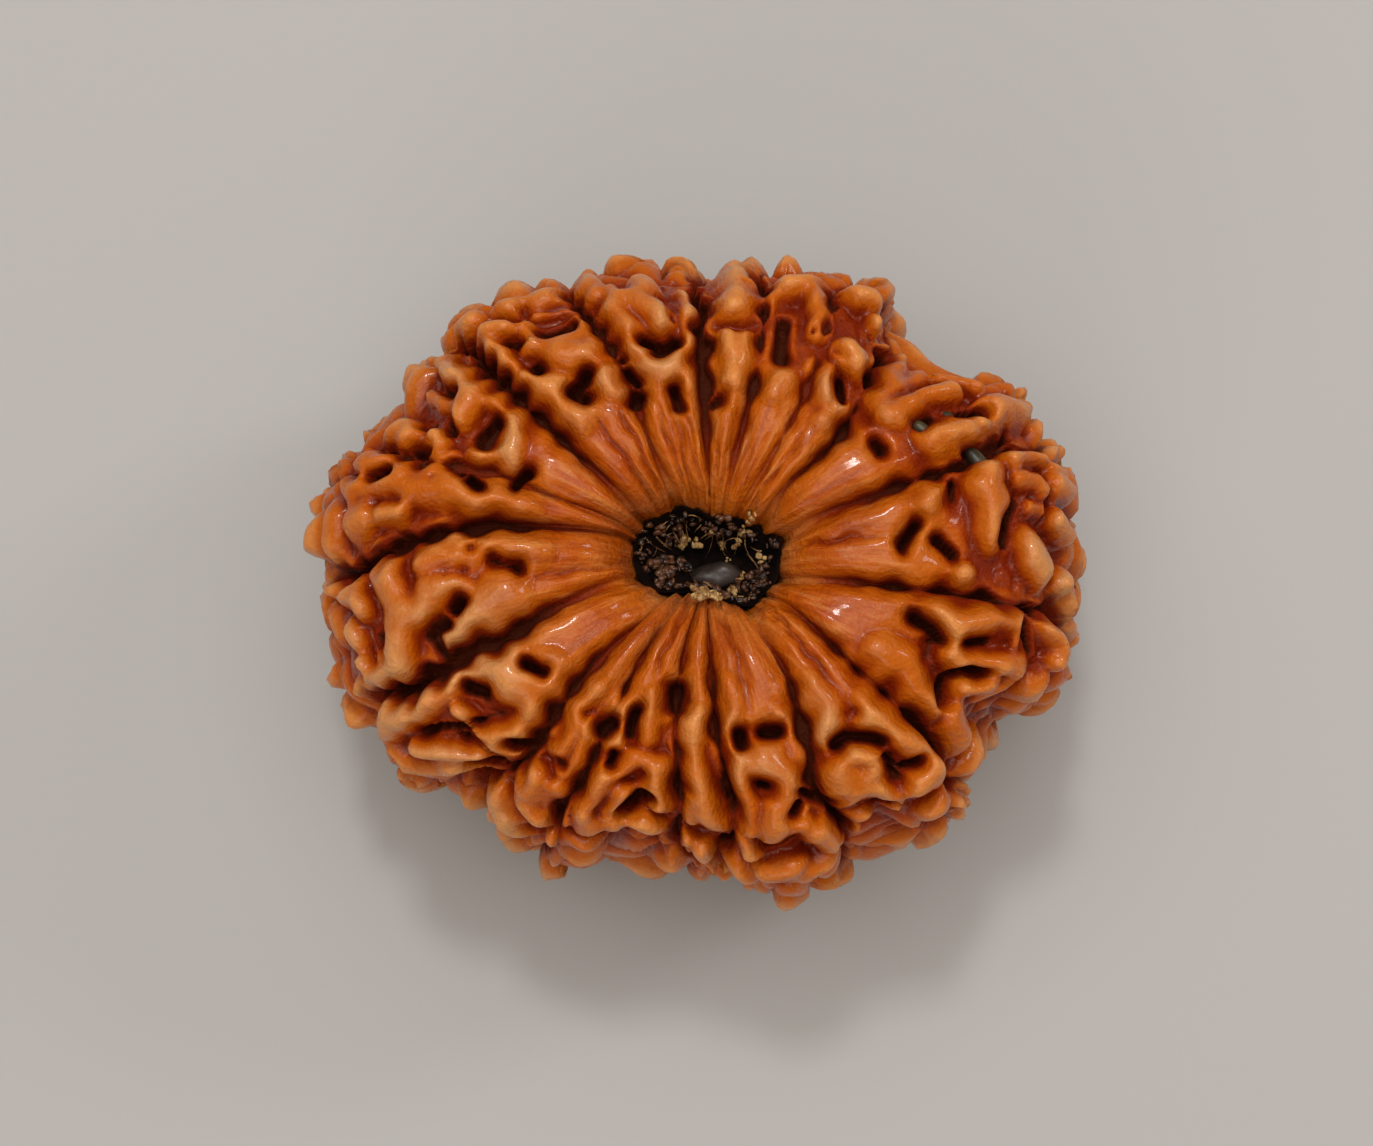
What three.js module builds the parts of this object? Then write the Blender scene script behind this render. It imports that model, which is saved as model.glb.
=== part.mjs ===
// Rudraksha seed: one dried fruit stone, wider than it is tall, with its natural canal upright.
// Millimetres. +Z runs up the canal, +X along the longer width. The seed rests on its lower lobes.
import * as THREE from 'three';

// Driving dimensions
const HEIGHT = 23; // pole to pole, along the canal
const CANAL_AT = { x: 0.5, y: -0.1 }; // canal axis from the middle of the outline
// From the canal axis to the canal wall, every 15 degrees from +X towards +Y
const CANAL = [2.75, 2.9, 2.4, 2.1, 1.8, 1.55, 1.6, 2.0, 2.4, 2.5, 2.9, 3.0,
  2.95, 2.75, 2.25, 1.6, 1.2, 1.05, 1.0, 1.25, 1.8, 2.4, 2.45, 2.75];
// From the canal axis to the knob tops of the flank, at the same bearings
const REACH = [17.3, 17.8, 16.95, 14.4, 16.1, 15.4, 14.8, 15.25, 15.8, 17.1, 16.7, 18.5,
  18.35, 18.15, 17.5, 15.25, 15.6, 13.9, 14.4, 15.6, 15.3, 16.4, 15.25, 17.8];
const FLANK_POWER = 2.3; // roundness of the flank in section
const MOUTH_POWER = 4.5; // squareness of the shoulder where the top turns into the canal

// A place on the surface is a bearing in degrees and a share of the way over it:
// 0 at mid canal, 25 at the mouth, 50 on the top ring, 100 at the belly, 150 on the lower ring.
const SHARES = [30, 40, 50, 60, 70, 100];
// The deep grooves between lobes: bearing at each of those shares, then half widths at mouth and flank
const GROOVES = [
  { at: [16, 19.5, 20.3, 20.5, 22, 22], mouth: 0.3, flank: 0.4, depth: 1 },
  { at: [34, 41, 43, 47, 50, 50], mouth: 0.3, flank: 0.4, depth: 1 },
  { at: [56, 58, 59, 63, 65, 65], mouth: 0.3, flank: 0.2, depth: 0.6 },
  { at: [73, 75.5, 75, 77, 79, 80], mouth: 0.35, flank: 0.45, depth: 0.8 },
  { at: [91, 91.5, 91.5, 91.5, 91, 90], mouth: 0.35, flank: 0.5, depth: 1.1 },
  { at: [121, 118, 114.5, 115.5, 116.5, 117], mouth: 0.25, flank: 0.3, depth: 0.8 },
  { at: [149, 143.5, 141, 139.8, 139.7, 140], mouth: 0.3, flank: 0.5, depth: 1.1 },
  { at: [160, 160, 159, 161, 160, 160], mouth: 0.2, flank: 0.25, depth: 0.6 },
  { at: [165, 169, 172.3, 176.8, 180, 182], mouth: 0.3, flank: 0.6, depth: 1.1 },
  { at: [193, 197.5, 201.5, 202.7, 204.7, 206.5], mouth: 0.4, flank: 0.6, depth: 1.1 },
  { at: [219, 222.5, 224.3, 227.3, 226.5, 225], mouth: 0.4, flank: 0.35, depth: 0.9 },
  { at: [231, 236, 238.7, 240.3, 239.8, 239], mouth: 0.2, flank: 0.25, depth: 0.8 },
  { at: [254, 255.5, 258.5, 261.7, 264.2, 266], mouth: 0.25, flank: 0.3, depth: 0.9 },
  { at: [271, 270.8, 271.7, 274, 274, 273], mouth: 0.35, flank: 0.38, depth: 1 },
  { at: [310, 305.5, 299.7, 295, 295.7, 298], mouth: 0.3, flank: 0.3, depth: 0.9 },
  { at: [329, 325, 322, 322, 321.8, 320], mouth: 0.3, flank: 0.45, depth: 1 },
  { at: [346, 349.5, 351, 352, 351.5, 350], mouth: 0.4, flank: 0.45, depth: 1.1 },
];
// Groove depth at shares of the way over, for a groove of depth 1
const DEPTH_SHARES = [0, 20, 30, 40, 50, 60, 70, 100];
const DEPTHS = [0.1, 0.15, 0.35, 1.1, 2.0, 2.6, 3.0, 2.8];
const FLOOR_SHARE = 0.3; // of a groove's half width that is flat floor
const SHOULDER = { mouth: 0.65, flank: 1.15 }; // how far a lobe takes to round over from a groove's edge
const WANDER = 2.6; // degrees that the grooves swing to and fro across the flank

// Fine furrows along the lobes by the mouth: bearing at the mouth, then bearing and share of the outer end
const FURROWS = [[7, 6, 45], [50, 52.5, 46], [70, 72.5, 47], [78, 79, 44], [85, 87, 44], [97, 97, 47],
  [104.5, 103.5, 46], [111, 109.5, 47], [125, 122.5, 48], [134, 130, 48], [184, 187, 44],
  [245, 247.5, 46], [284, 285, 48], [318, 313.5, 48]];
const FURROW = { half: 0.05, shoulder: 0.45, depth: 0.35, start: 30 };

// Short notches up the flank: half width, then bearing and share of the points along each
const NOTCHES = [
  [0.2, 99, 72, 99, 60], [0.2, 107.5, 75, 107.5, 68], [0.25, 125.3, 72, 126, 68], [0.25, 153, 76, 153, 70],
  [0.25, 159.3, 76, 159, 70], [0.2, 165.5, 80, 165.5, 70], [0.25, 189, 80, 189.3, 75],
  [0.3, 198.3, 82, 198, 75], [0.25, 237.5, 84, 238.3, 76], [0.25, 252.3, 82, 252.3, 75],
  [0.3, 266.3, 84, 266.3, 78], [0.3, 333.8, 84, 333.8, 77], [0.15, 65, 70, 65, 60],
];

// Deep pits, shallow hollows and raised knobs, each as half width, then bearing and share of its points
const PITS = [
  [0.45, 31.8, 56.5, 32.3, 59.5], [0.4, 31.5, 62.5, 29.8, 65, 28.3, 67],
  [0.75, 20.8, 60, 21.5, 64, 22.5, 67], [0.5, 22.5, 67, 24, 70.5], [0.5, 9.3, 64.5, 5.5, 63, 2.5, 62.5],
  [0.35, 15.5, 54.8, 11.5, 54.7], [0.42, 7.8, 49.3, 2.2, 48], [0.4, 4, 52.8, 1, 54.6],
  [0.35, 34, 50, 31.5, 49.5], [0.3, 102.5, 49, 102, 46.5], [0.5, 91.5, 47.5, 88, 48.5],
  [0.6, 73, 62, 71, 58, 69, 55], [0.5, 52.5, 56, 50.5, 55.5], [0.4, 107.5, 57.3, 104, 56],
  [0.5, 99.5, 56.5, 104.5, 55], [0.4, 115.5, 59, 114.8, 57, 114, 54.5], [0.3, 113.5, 52.5, 112.5, 50.8],
  [0.45, 115.8, 47, 113.8, 49], [0.75, 125, 64, 121, 63.8], [0.5, 132.3, 57.8, 132.5, 57],
  [0.55, 124, 53.5, 125.5, 52.3], [0.55, 126.5, 51.8, 129.3, 51.3, 127.8, 49.5],
  [0.3, 132.5, 64.5, 131, 63.5], [0.6, 148, 57, 150, 57.3, 152.3, 57.2], [0.35, 146.3, 69.5, 146, 66.3],
  [0.4, 153.5, 67], [0.3, 151, 64.5, 153.8, 61.3], [0.45, 159, 63.5, 159.3, 61.3],
  [0.35, 165.5, 67.5, 164, 65], [0.3, 161.8, 56, 162.3, 54.5], [0.4, 162.3, 53.3, 162.7, 52.3],
  [0.5, 155.8, 48, 159, 48.3], [0.6, 180.5, 69, 181.5, 72, 182, 76], [0.45, 193.3, 69.3, 192.5, 67.5],
  [0.6, 196.5, 60, 195, 57.5], [0.45, 192.5, 55.5, 191.3, 54.5], [0.5, 196.5, 59.5, 200, 59.8, 203, 60.3],
  [0.35, 183, 49, 184, 46.5], [0.55, 209.3, 59.3, 211.5, 57.7, 214.5, 58.5, 217.5, 60],
  [0.45, 216.5, 60.5, 216.5, 63], [0.6, 211.5, 71, 213.5, 67.5, 216, 65.8], [0.55, 217, 68],
  [0.25, 212, 51.3, 216, 51], [0.5, 227, 60, 225.5, 63.5, 224, 65], [0.6, 221.5, 73.5, 225, 70.5],
  [0.42, 232.8, 62.3, 234.3, 62], [0.55, 239.5, 54, 241, 52.5], [0.4, 247, 51, 247.3, 54],
  [0.3, 245.3, 57, 245.8, 58.8], [0.5, 254.8, 66, 252.8, 69.5], [0.6, 258, 47, 258.5, 50.5],
  [0.45, 280.5, 51, 280.8, 52.5], [0.45, 287.5, 51, 290.3, 51.5], [0.42, 283.2, 59, 284.3, 59.2],
  [0.35, 288.8, 64, 290.3, 62.8], [0.5, 292.3, 61.5, 294.5, 63.5, 296.5, 66],
  [0.6, 282.3, 70.8, 286, 69.3], [0.5, 303.3, 56.5, 306.5, 55.5, 310, 56.5, 312.5, 58],
  [0.5, 310.8, 61, 309, 65.5], [0.4, 312, 63.8, 315, 64.8], [0.4, 297.2, 72, 297.5, 75],
  [0.5, 309.3, 71.5, 312, 72.3], [0.4, 303.5, 69.5, 306, 70.3], [0.35, 341, 58.5, 342.3, 60.5],
  [0.8, 347.3, 67.8, 344.8, 68.8, 342.8, 70.3], [0.5, 343, 50.5, 341, 53, 339, 55],
  [0.45, 337.5, 55, 335, 56.5, 333.5, 57.3], [0.5, 336.3, 66, 335.3, 63.5, 332, 62.7, 329, 65],
];
const HOLLOWS = [
  [0.35, 82, 59.5], [0.3, 57.5, 58.5, 55.5, 59], [0.35, 55.5, 64], [0.3, 82.5, 69.5], [0.5, 115.5, 65.5],
  [0.25, 165, 57.5], [0.4, 170.5, 65.5, 169.8, 63], [0.4, 179.5, 51.5], [0.35, 184.5, 54.5, 184.5, 52.5],
  [0.35, 197, 68.5], [0.4, 232.5, 53.5, 234.5, 52.5], [0.5, 240.8, 63.5, 241.2, 60],
  [0.4, 239.5, 68.5, 240.3, 67], [0.35, 248, 66.5, 248, 69], [0.35, 252.5, 62, 253, 61],
  [0.35, 313.5, 51.8], [0.4, 301.5, 67.8, 303.5, 68], [0.5, 343.8, 62, 344.5, 64],
  [0.6, 332.5, 76.5, 334.5, 75.5], [0.6, 341.8, 74, 340, 75.5], [0.35, 338.5, 73.8, 335.5, 75],
];
const KNOBS = [
  [0.6, 46.3, 64.5, 47.8, 70, 48, 76], [0.5, 42, 58.5, 42.5, 64, 42.5, 71], [0.6, 37, 62.5, 36, 67],
  [0.7, 38, 57, 36.5, 60], [0.5, 39.5, 71.5, 36, 72, 33.5, 71], [0.9, 27.5, 57, 26.5, 61.5],
  [0.7, 27.3, 65.5, 28.2, 69, 28.5, 74, 27, 80], [0.6, 18, 65.5, 18.8, 69.5, 18.5, 74, 16.5, 78],
  [0.8, 17, 61, 13.5, 59.5, 9.5, 60.5, 5, 60.5], [0.5, 14, 65, 13.5, 69, 12, 70.5],
  [0.8, 13.5, 75, 12, 80], [0.4, 9, 67, 8.5, 70.5], [0.6, 7.5, 74.5, 5, 80], [0.9, 1.5, 67.5, 359, 70.5],
  [0.8, 358, 78], [0.5, 16, 51.8, 13, 51], [0.5, 356.5, 56], [0.9, 84, 70, 84, 78],
  [0.9, 84.5, 63.5, 83.5, 66], [0.5, 84.5, 57, 83.5, 51], [0.5, 79.5, 57, 80.5, 51],
  [0.3, 90, 61, 86.5, 66.5], [0.45, 94.5, 68, 94, 62, 94.5, 58, 96, 55], [0.6, 95.5, 52.5, 94, 51],
  [0.8, 74, 70, 70.5, 71.5, 68, 70.5], [0.4, 76, 68, 78, 62.5], [0.5, 69, 69, 66, 64, 63.5, 60],
  [0.4, 66.5, 52, 68, 49], [0.6, 58.5, 54.5, 56, 52.5], [0.5, 49.5, 54, 50.5, 50.5],
  [0.7, 55, 60, 51.5, 61], [0.8, 61.5, 70.5, 58.5, 72], [0.5, 54.5, 69], [0.35, 101.5, 52.7],
  [0.7, 107, 66, 104, 62.5, 102, 60.5], [0.7, 104.5, 69.5, 103.5, 67],
  [0.6, 109, 69, 110.5, 64, 110, 60, 109.5, 56], [0.75, 112.8, 74.5, 113.3, 69],
  [0.5, 119, 64, 118.3, 59.5, 117.8, 55.5], [0.6, 119.5, 52, 118.5, 49.5],
  [0.6, 108, 53.5, 104.5, 52.5, 101.5, 53], [0.9, 122, 74, 117.5, 74], [0.4, 124, 69.5, 117.5, 68.5],
  [0.5, 130, 61.5, 126, 60.5, 121.5, 60.5], [0.8, 127, 58.5, 123.5, 57.5, 121, 56.5],
  [0.6, 136.3, 67.5, 136.3, 64, 137, 60.5], [0.7, 136, 56, 134, 53.5, 132.5, 51, 133, 47],
  [0.8, 137, 75, 134, 74], [0.7, 128.5, 73.5, 126, 73], [0.6, 133.5, 68.5, 131, 67],
  [0.5, 127.5, 66, 129, 62.5], [0.6, 143, 77, 142.5, 72, 143, 68],
  [0.8, 143.5, 67, 144.5, 64, 147, 62.5, 150, 62.5], [0.45, 149, 72, 148.8, 66], [1, 146, 80, 148.5, 80],
  [0.6, 156.3, 62.5, 158, 60.5], [0.8, 156.5, 70.5, 157, 67], [1, 162.3, 71, 163.3, 67],
  [0.75, 164.5, 64.5, 163, 61.5, 162.3, 58, 162, 56.5], [0.65, 156.5, 54.5, 154.5, 52.5],
  [0.6, 146.5, 55, 149.5, 53.5, 152, 53], [0.5, 143.3, 61.5, 144, 57.5, 145.5, 54],
  [0.9, 167.5, 61, 166.5, 56, 167, 51, 167.5, 46], [0.9, 167, 69, 167, 64], [0.6, 172, 64.5, 172, 62],
  [0.8, 173, 68, 174, 70.5], [0.8, 168, 73, 169, 71], [1.1, 173.5, 78, 176.5, 78],
  [0.8, 178.5, 55.5, 178, 50, 177.8, 45],
  [0.9, 181, 65, 183.5, 64, 187, 63, 191, 63.5, 195, 64.5, 198.5, 66.5, 200, 70, 200.3, 73],
  [0.8, 190.5, 61.5, 191, 59.5], [0.8, 184.5, 74, 185, 71.5], [0.7, 187.5, 70], [0.8, 191.5, 74],
  [0.6, 196.5, 73.5], [0.4, 195.5, 69.5], [1.1, 201.5, 79, 203.5, 79, 204, 75],
  [0.95, 193, 49, 194.5, 51, 196, 54, 197.8, 56.8], [0.35, 186.5, 48, 187, 46], [0.6, 182, 58, 182.5, 53],
  [0.7, 187.5, 58, 188, 54.5], [0.7, 207.5, 79.5, 207.3, 74, 207.3, 68, 207, 62, 207.3, 57, 207.5, 53],
  [0.5, 212.5, 62.5, 214.5, 62.5, 218, 64.5], [0.6, 213.5, 74, 217, 72.5, 221, 70.5],
  [0.8, 221, 74, 218.5, 76], [0.8, 211.5, 82, 214.5, 82], [0.8, 212, 54.5, 216, 54.3, 219.5, 56],
  [0.9, 217.5, 51.8, 220.5, 54, 222.5, 57, 223.8, 61, 222, 65], [0.9, 212, 55.5, 213.5, 53.5],
  [0.55, 229.5, 50, 229.8, 54, 231.5, 58, 231, 60.5], [0.55, 235, 55, 237.3, 57.3, 237.5, 60.5, 235, 62.5],
  [0.75, 230.5, 67, 231.5, 69.5], [0.8, 233.5, 72.5, 236.5, 73.5, 239, 71.5], [1, 226.5, 80, 230, 83],
  [0.9, 232, 84], [0.7, 219, 77.5, 216, 80], [0.7, 236.5, 66, 237.5, 68.5], [0.45, 242.3, 50, 243.5, 55],
  [0.45, 252, 49, 252.3, 55], [0.65, 246, 60.5, 244.5, 63.5, 243.5, 67], [0.7, 245, 69, 246.5, 72.5],
  [0.5, 248.5, 60, 251, 58, 254, 58.5, 256, 61], [0.7, 257, 59.5, 257, 64, 258.5, 66.5],
  [0.9, 243, 79, 247, 79], [0.7, 255, 72, 258.5, 73.5], [0.6, 250.5, 65, 250, 69, 250.5, 73],
  [0.6, 265, 51.5, 263.8, 54.5, 266.5, 58, 268.3, 61, 269.5, 65.5, 272, 69], [0.5, 265.5, 63, 266, 68],
  [0.5, 275.5, 46, 277, 50.5], [0.25, 284.5, 52.5, 287.5, 53.2, 290.5, 53.3],
  [0.4, 294.3, 49.5, 295.5, 52.5, 294.5, 55.5], [0.6, 279, 54.5, 278.3, 58, 277.8, 63, 278.5, 67],
  [0.9, 286, 56, 289, 58.5, 288.5, 62, 286, 65], [0.6, 283.5, 63, 284, 67.5],
  [0.5, 290.5, 66.5, 291, 69.5], [0.7, 293, 69, 294, 74], [0.6, 276.8, 70, 278.3, 73],
  [0.9, 273.5, 80, 276.5, 82], [0.8, 281, 78, 286, 76.5], [0.9, 288, 80, 292, 79], [0.6, 297.5, 76],
  [0.65, 269, 75.5, 270, 77.5], [0.6, 264, 74.5, 262, 78], [0.8, 300, 60.5, 300, 65.5],
  [0.8, 304, 47, 303.5, 52, 302.5, 54.5], [0.5, 317.5, 53, 314, 53.8],
  [0.7, 304.5, 58.5, 307.5, 61, 305, 64], [0.7, 299.5, 71.5], [0.6, 305, 66.5, 303, 66.5],
  [0.7, 344.5, 52.5, 345, 56, 347, 60, 348.2, 65], [0.35, 348.5, 66, 345, 65.5, 341.5, 67],
  [0.7, 342.8, 55.5, 344, 53.5], [0.7, 349.5, 73, 348, 76, 345.5, 77.5, 343.8, 77],
  [0.7, 337, 58, 336.5, 61, 337.5, 64.5, 339.5, 67, 340, 69.5],
  [0.5, 339.5, 70.5, 336.5, 72.3, 332.5, 71.8], [0.7, 333, 67, 335, 69.3],
  [0.7, 331, 52, 329.5, 56, 327, 60, 326.5, 64], [0.9, 327, 69, 325.5, 73.5],
  [0.7, 317.5, 53, 316.8, 57, 317.5, 61, 318, 65, 318.3, 69], [0.9, 312.5, 68, 315.5, 68.5, 317, 69.5],
  [0.6, 306, 67, 307.3, 70.8], [0.9, 311, 78, 315, 77.5], [1, 322.5, 81, 325.5, 82],
  [0.9, 337.5, 81, 338.5, 78],
];
// The flank and the underside are covered with packed lumps, and each lobe has rows of seeded pits there
const LUMPS = { size: 2.4, rise: 2.2 };
const FILL = { from: 86, to: 158, step: 9, spacing: 4, half: 0.45 };

// How far the relief stands and goes in
const GROUND = 1.7; // the skin between knobs lies this far inside the smooth body
const KNOB_WIDE = 1.45; // a knob's foot, in its half widths
const KNOB_STEEP = 2; // its rise, in its foot's half widths
const KNOB_TALL = 1.7; // but no knob rises more than this
const KNOB_BY_MOUTH = 0.3; // share of that rise left where the lobes turn into the mouth's ribs
const BLEND = 5; // knobs and lumps add up as this power, so that they run smoothly into one another
const FADE = 1.3; // depth of a pit by which its knobs have faded out
const LEAN = 1; // how far the relief leans up over the top ring, and down under the lower one
const KNOB_POWER = 0.8; // roundness of a knob's section
const PIT_DEPTH = 2.6;
const HOLLOW_DEPTH = 0.7;
const NOTCH_DEPTH = 1.4;
const PIT_FLOOR = 0.4; // of a pit's half width that is flat floor
const PIT_WALL = { least: 0.35, perHalf: 0.8 }; // how far a pit's wall takes to reach the skin
const WARP = { size: 2.3, far: 0.32 }; // how finely and how far the listed places are pulled about

const FLAT_CUT = 0.5; // how far the lowest lumps are worn flat

// Mesh density
const COLUMNS_WANTED = 120; // round the canal
const CLOSER = 0.45; // how much closer the columns stand beside the grooves
const ROWS = [ // shares where the density changes, and the rows between them
  { to: 22, rows: 2 }, { to: 46, rows: 6 }, { to: 80, rows: 14 }, { to: 122, rows: 12 },
  { to: 154, rows: 8 }, { to: 178, rows: 4 }, { to: 200, rows: 3 },
];

const RAD = Math.PI / 180;
const turn = (degrees) => ((degrees % 360) + 360) % 360;
const lerp = (a, b, t) => a + (b - a) * t;
const clamp = (v) => Math.min(1, Math.max(0, v));
const smooth = (a, b, v) => clamp((v - a) / (b - a)) ** 2 * (3 - 2 * clamp((v - a) / (b - a)));
const signedPower = (v, p) => Math.sign(v) * Math.abs(v) ** p;
const draw = (n) => { // a fixed random number from 0 to 1 for each n
  const s = Math.sin(n * 12.9898) * 43758.5453;
  return s - Math.floor(s);
};

const corners = [];
for (let i = 0; i < 27; i += 1) {
  corners.push(new THREE.Vector3(i % 3, Math.floor(i / 3) % 3, Math.floor(i / 9)));
}
const cellNumber = (cell) => cell.x + 57.31 * cell.y + 113.73 * cell.z;

// Smooth noise from -1 to 1: random values at the corners of a cubic lattice, eased between
function latticeNoise(p, size, seed) {
  const cell = p.clone().divideScalar(size).floor();
  const inside = p.clone().divideScalar(size).sub(cell);
  const ease = inside.toArray().map((t) => t * t * (3 - 2 * t));
  let total = 0;
  for (const corner of corners.filter((c) => Math.max(c.x, c.y, c.z) < 2)) {
    const weights = corner.toArray().map((c, i) => (c ? ease[i] : 1 - ease[i]));
    total += weights[0] * weights[1] * weights[2] * draw(cellNumber(cell.clone().add(corner)) + seed);
  }
  return 2 * total - 1;
}

// A rounded edge: 0 at the foot of a wall, rising steeply and easing over to 1 at t = 1
const rounded = (t) => Math.sqrt(1 - (1 - clamp(t)) ** 2);

// Packed lumps: 0 in the creases between seeded middles, a quarter circle up to each lump's own height
function packedLumps(p, size, seed) {
  const q = p.clone().divideScalar(size);
  let nearest = 9;
  let second = 9;
  let tall = 0;
  for (const corner of corners) {
    const lump = q.clone().floor().add(corner).subScalar(1);
    const number = cellNumber(lump) + seed;
    const jitter = new THREE.Vector3(...[0, 17.17, 31.31].map((step) => draw(number + step) - 0.5));
    const distance = q.distanceTo(lump.addScalar(0.5).addScaledVector(jitter, 0.8));
    if (distance < nearest) {
      second = nearest;
      nearest = distance;
      tall = draw(number + 5.5);
    } else {
      second = Math.min(second, distance);
    }
  }
  return rounded((second - nearest) / 0.8) * (0.5 + 0.5 * tall);
}

function interpolate(xs, ys, x) { // straight lines between points, level past the ends
  let i = 1;
  while (i < xs.length - 1 && x > xs[i]) i += 1;
  return lerp(ys[i - 1], ys[i], clamp((x - xs[i - 1]) / (xs[i] - xs[i - 1])));
}

// The section through the lobe wall: a closed curve, squarer on the canal side.
// Its upper half is kept as points at even steps of angle, with the length walked so far.
function sectionPoints(count, halfSpan) {
  const points = [];
  let walked = 0;
  for (let i = 0; i <= count; i += 1) {
    const angle = Math.PI * (1 - i / count);
    const power = Math.cos(angle) < 0 ? MOUTH_POWER : FLANK_POWER;
    const across = signedPower(Math.cos(angle), 2 / power);
    const up = signedPower(Math.sin(angle), 2 / power);
    const last = points[points.length - 1];
    if (last) walked += Math.hypot((across - last.across) * halfSpan, ((up - last.up) * HEIGHT) / 2);
    points.push({ across, up, walked });
  }
  return points;
}
const MEAN_HALF_SPAN = 6.9; // half of the mean lobe wall, canal to flank
const SECTION = sectionPoints(2000, MEAN_HALF_SPAN);
const HALF_WAY = SECTION[SECTION.length - 1].walked;

function section(share) { // across and up, each -1 to 1, at a share of the way over
  const wrapped = ((share % 200) + 200) % 200;
  const below = wrapped > 100;
  const walked = ((below ? 200 - wrapped : wrapped) / 100) * HALF_WAY;
  let low = 0;
  let high = SECTION.length - 1;
  while (high - low > 1) {
    const middle = (low + high) >> 1;
    if (SECTION[middle].walked <= walked) low = middle;
    else high = middle;
  }
  const t = clamp((walked - SECTION[low].walked) / (SECTION[high].walked - SECTION[low].walked));
  const up = lerp(SECTION[low].up, SECTION[high].up, t);
  return { across: lerp(SECTION[low].across, SECTION[high].across, t), up: below ? -up : up };
}

function ringValue(values, bearing) { // a list of values round the seed, joined by half cosine waves
  const place = (turn(bearing) / 360) * values.length;
  const i = Math.floor(place) % values.length;
  const t = (1 - Math.cos(Math.PI * (place - Math.floor(place)))) / 2;
  return lerp(values[i], values[(i + 1) % values.length], t);
}

function smoothBody(bearing, share) { // the surface before any relief
  const { across, up } = section(share);
  const outer = ringValue(REACH, bearing);
  const inner = ringValue(CANAL, bearing);
  const radius = (outer + inner) / 2 + ((outer - inner) / 2) * across;
  return new THREE.Vector3(
    radius * Math.cos(bearing * RAD), radius * Math.sin(bearing * RAD), (HEIGHT / 2) * (1 + up));
}

function outward(bearing, share) { // unit normal of the smooth body
  const step = 0.4;
  const along = smoothBody(bearing, share + step).sub(smoothBody(bearing, share - step));
  const round = smoothBody(bearing + step, share).sub(smoothBody(bearing - step, share));
  return along.cross(round).normalize();
}

function reliefWay(bearing, share) { // the way the relief is raised: outward and leaning
  const mirrored = share > 100 ? 200 - share : share;
  const way = outward(bearing, share);
  way.z += Math.sign(100 - share) * LEAN * smooth(40, 56, mirrored) * (1 - smooth(66, 88, mirrored));
  return way.normalize();
}

// Bearing of groove k at a share. Below the belly the grooves spread evenly to the lower mouth.
const LOWER_MOUTH = 172;
function grooveBearing(k, share) {
  const lap = Math.floor(k / GROOVES.length);
  const i = k - lap * GROOVES.length;
  const phase = draw(i + 1) * 2 * Math.PI;
  const flank = smooth(62, 80, share) * (1 - smooth(140, 165, share));
  const swing = WANDER * flank * (Math.sin(share / 6.5 + phase) - Math.sin(share / 3.7 + 2 * phase) / 3);
  const even = 18 + (i * 360) / GROOVES.length + 4 * (draw(i + 40) - 0.5);
  const upper = interpolate(SHARES, GROOVES[i].at, share);
  return lerp(upper, even, smooth(105, LOWER_MOUTH, share)) + swing + 360 * lap;
}

function lobeWidth(k, share) { // mm between groove k and the next
  const middle = smoothBody((grooveBearing(k, share) + grooveBearing(k + 1, share)) / 2, share);
  return (grooveBearing(k + 1, share) - grooveBearing(k, share)) * RAD * Math.hypot(middle.x, middle.y);
}

function feature([half, ...places], depth) { // a round-ended track through its places
  const points = [];
  for (let i = 0; i < places.length; i += 2) points.push(smoothBody(places[i], places[i + 1]));
  return { half, depth, points };
}

// Seeded pits below the listed ones
const filledPits = [];
GROOVES.forEach((groove, k) => {
  let seed = 100 * (k + 1);
  for (let share = FILL.from; share < FILL.to; share += FILL.step) {
    const count = Math.max(1, Math.round(lobeWidth(k, share) / FILL.spacing));
    for (let i = 0; i < count; i += 1) {
      seed += 4;
      const t = (i + 0.5 + 0.5 * (draw(seed) - 0.5)) / count;
      const place = share + FILL.step * (draw(seed + 1) - 0.5);
      const bearing = lerp(grooveBearing(k, place), grooveBearing(k + 1, place), t);
      filledPits.push([FILL.half * (0.6 + 0.8 * draw(seed + 2)), bearing, place]);
    }
  }
});

const pits = [
  ...[...PITS, ...filledPits].map((row) => feature(row, PIT_DEPTH)),
  ...HOLLOWS.map((row) => feature(row, HOLLOW_DEPTH)),
  ...NOTCHES.map((row) => feature(row, NOTCH_DEPTH)),
];
const knobs = KNOBS.map((row) => feature(row, Math.min(KNOB_STEEP * KNOB_WIDE * row[0], KNOB_TALL)));

const segment = new THREE.Line3();
const nearest = new THREE.Vector3();
function distanceTo({ points }, p) { // from a point of the smooth body to a feature's track
  if (points.length === 1) return p.distanceTo(points[0]);
  let best = Infinity;
  for (let i = 1; i < points.length; i += 1) {
    segment.set(points[i - 1], points[i]).closestPointToPoint(p, true, nearest);
    best = Math.min(best, p.distanceTo(nearest));
  }
  return best;
}

function grooveCarve(k, t, share) { // depth cut by the two grooves that bound lobe k
  const width = lobeWidth(k, share);
  const mirrored = share > 100 ? 200 - share : share;
  const deep = interpolate(DEPTH_SHARES, DEPTHS, mirrored);
  const cut = (groove, distance) => {
    const flankward = smooth(35, 58, mirrored);
    const floor = lerp(groove.mouth, groove.flank, flankward) * FLOOR_SHARE * smooth(10, 34, mirrored);
    const half = Math.min(floor, 0.2 * width);
    const shoulder = Math.min(lerp(SHOULDER.mouth, SHOULDER.flank, flankward), width / 2 - half);
    return Math.min(deep, 0.9 * width) * groove.depth * (1 - rounded((distance - half) / shoulder));
  };
  return Math.max(cut(GROOVES[k], t * width), cut(GROOVES[(k + 1) % GROOVES.length], (1 - t) * width));
}

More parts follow.
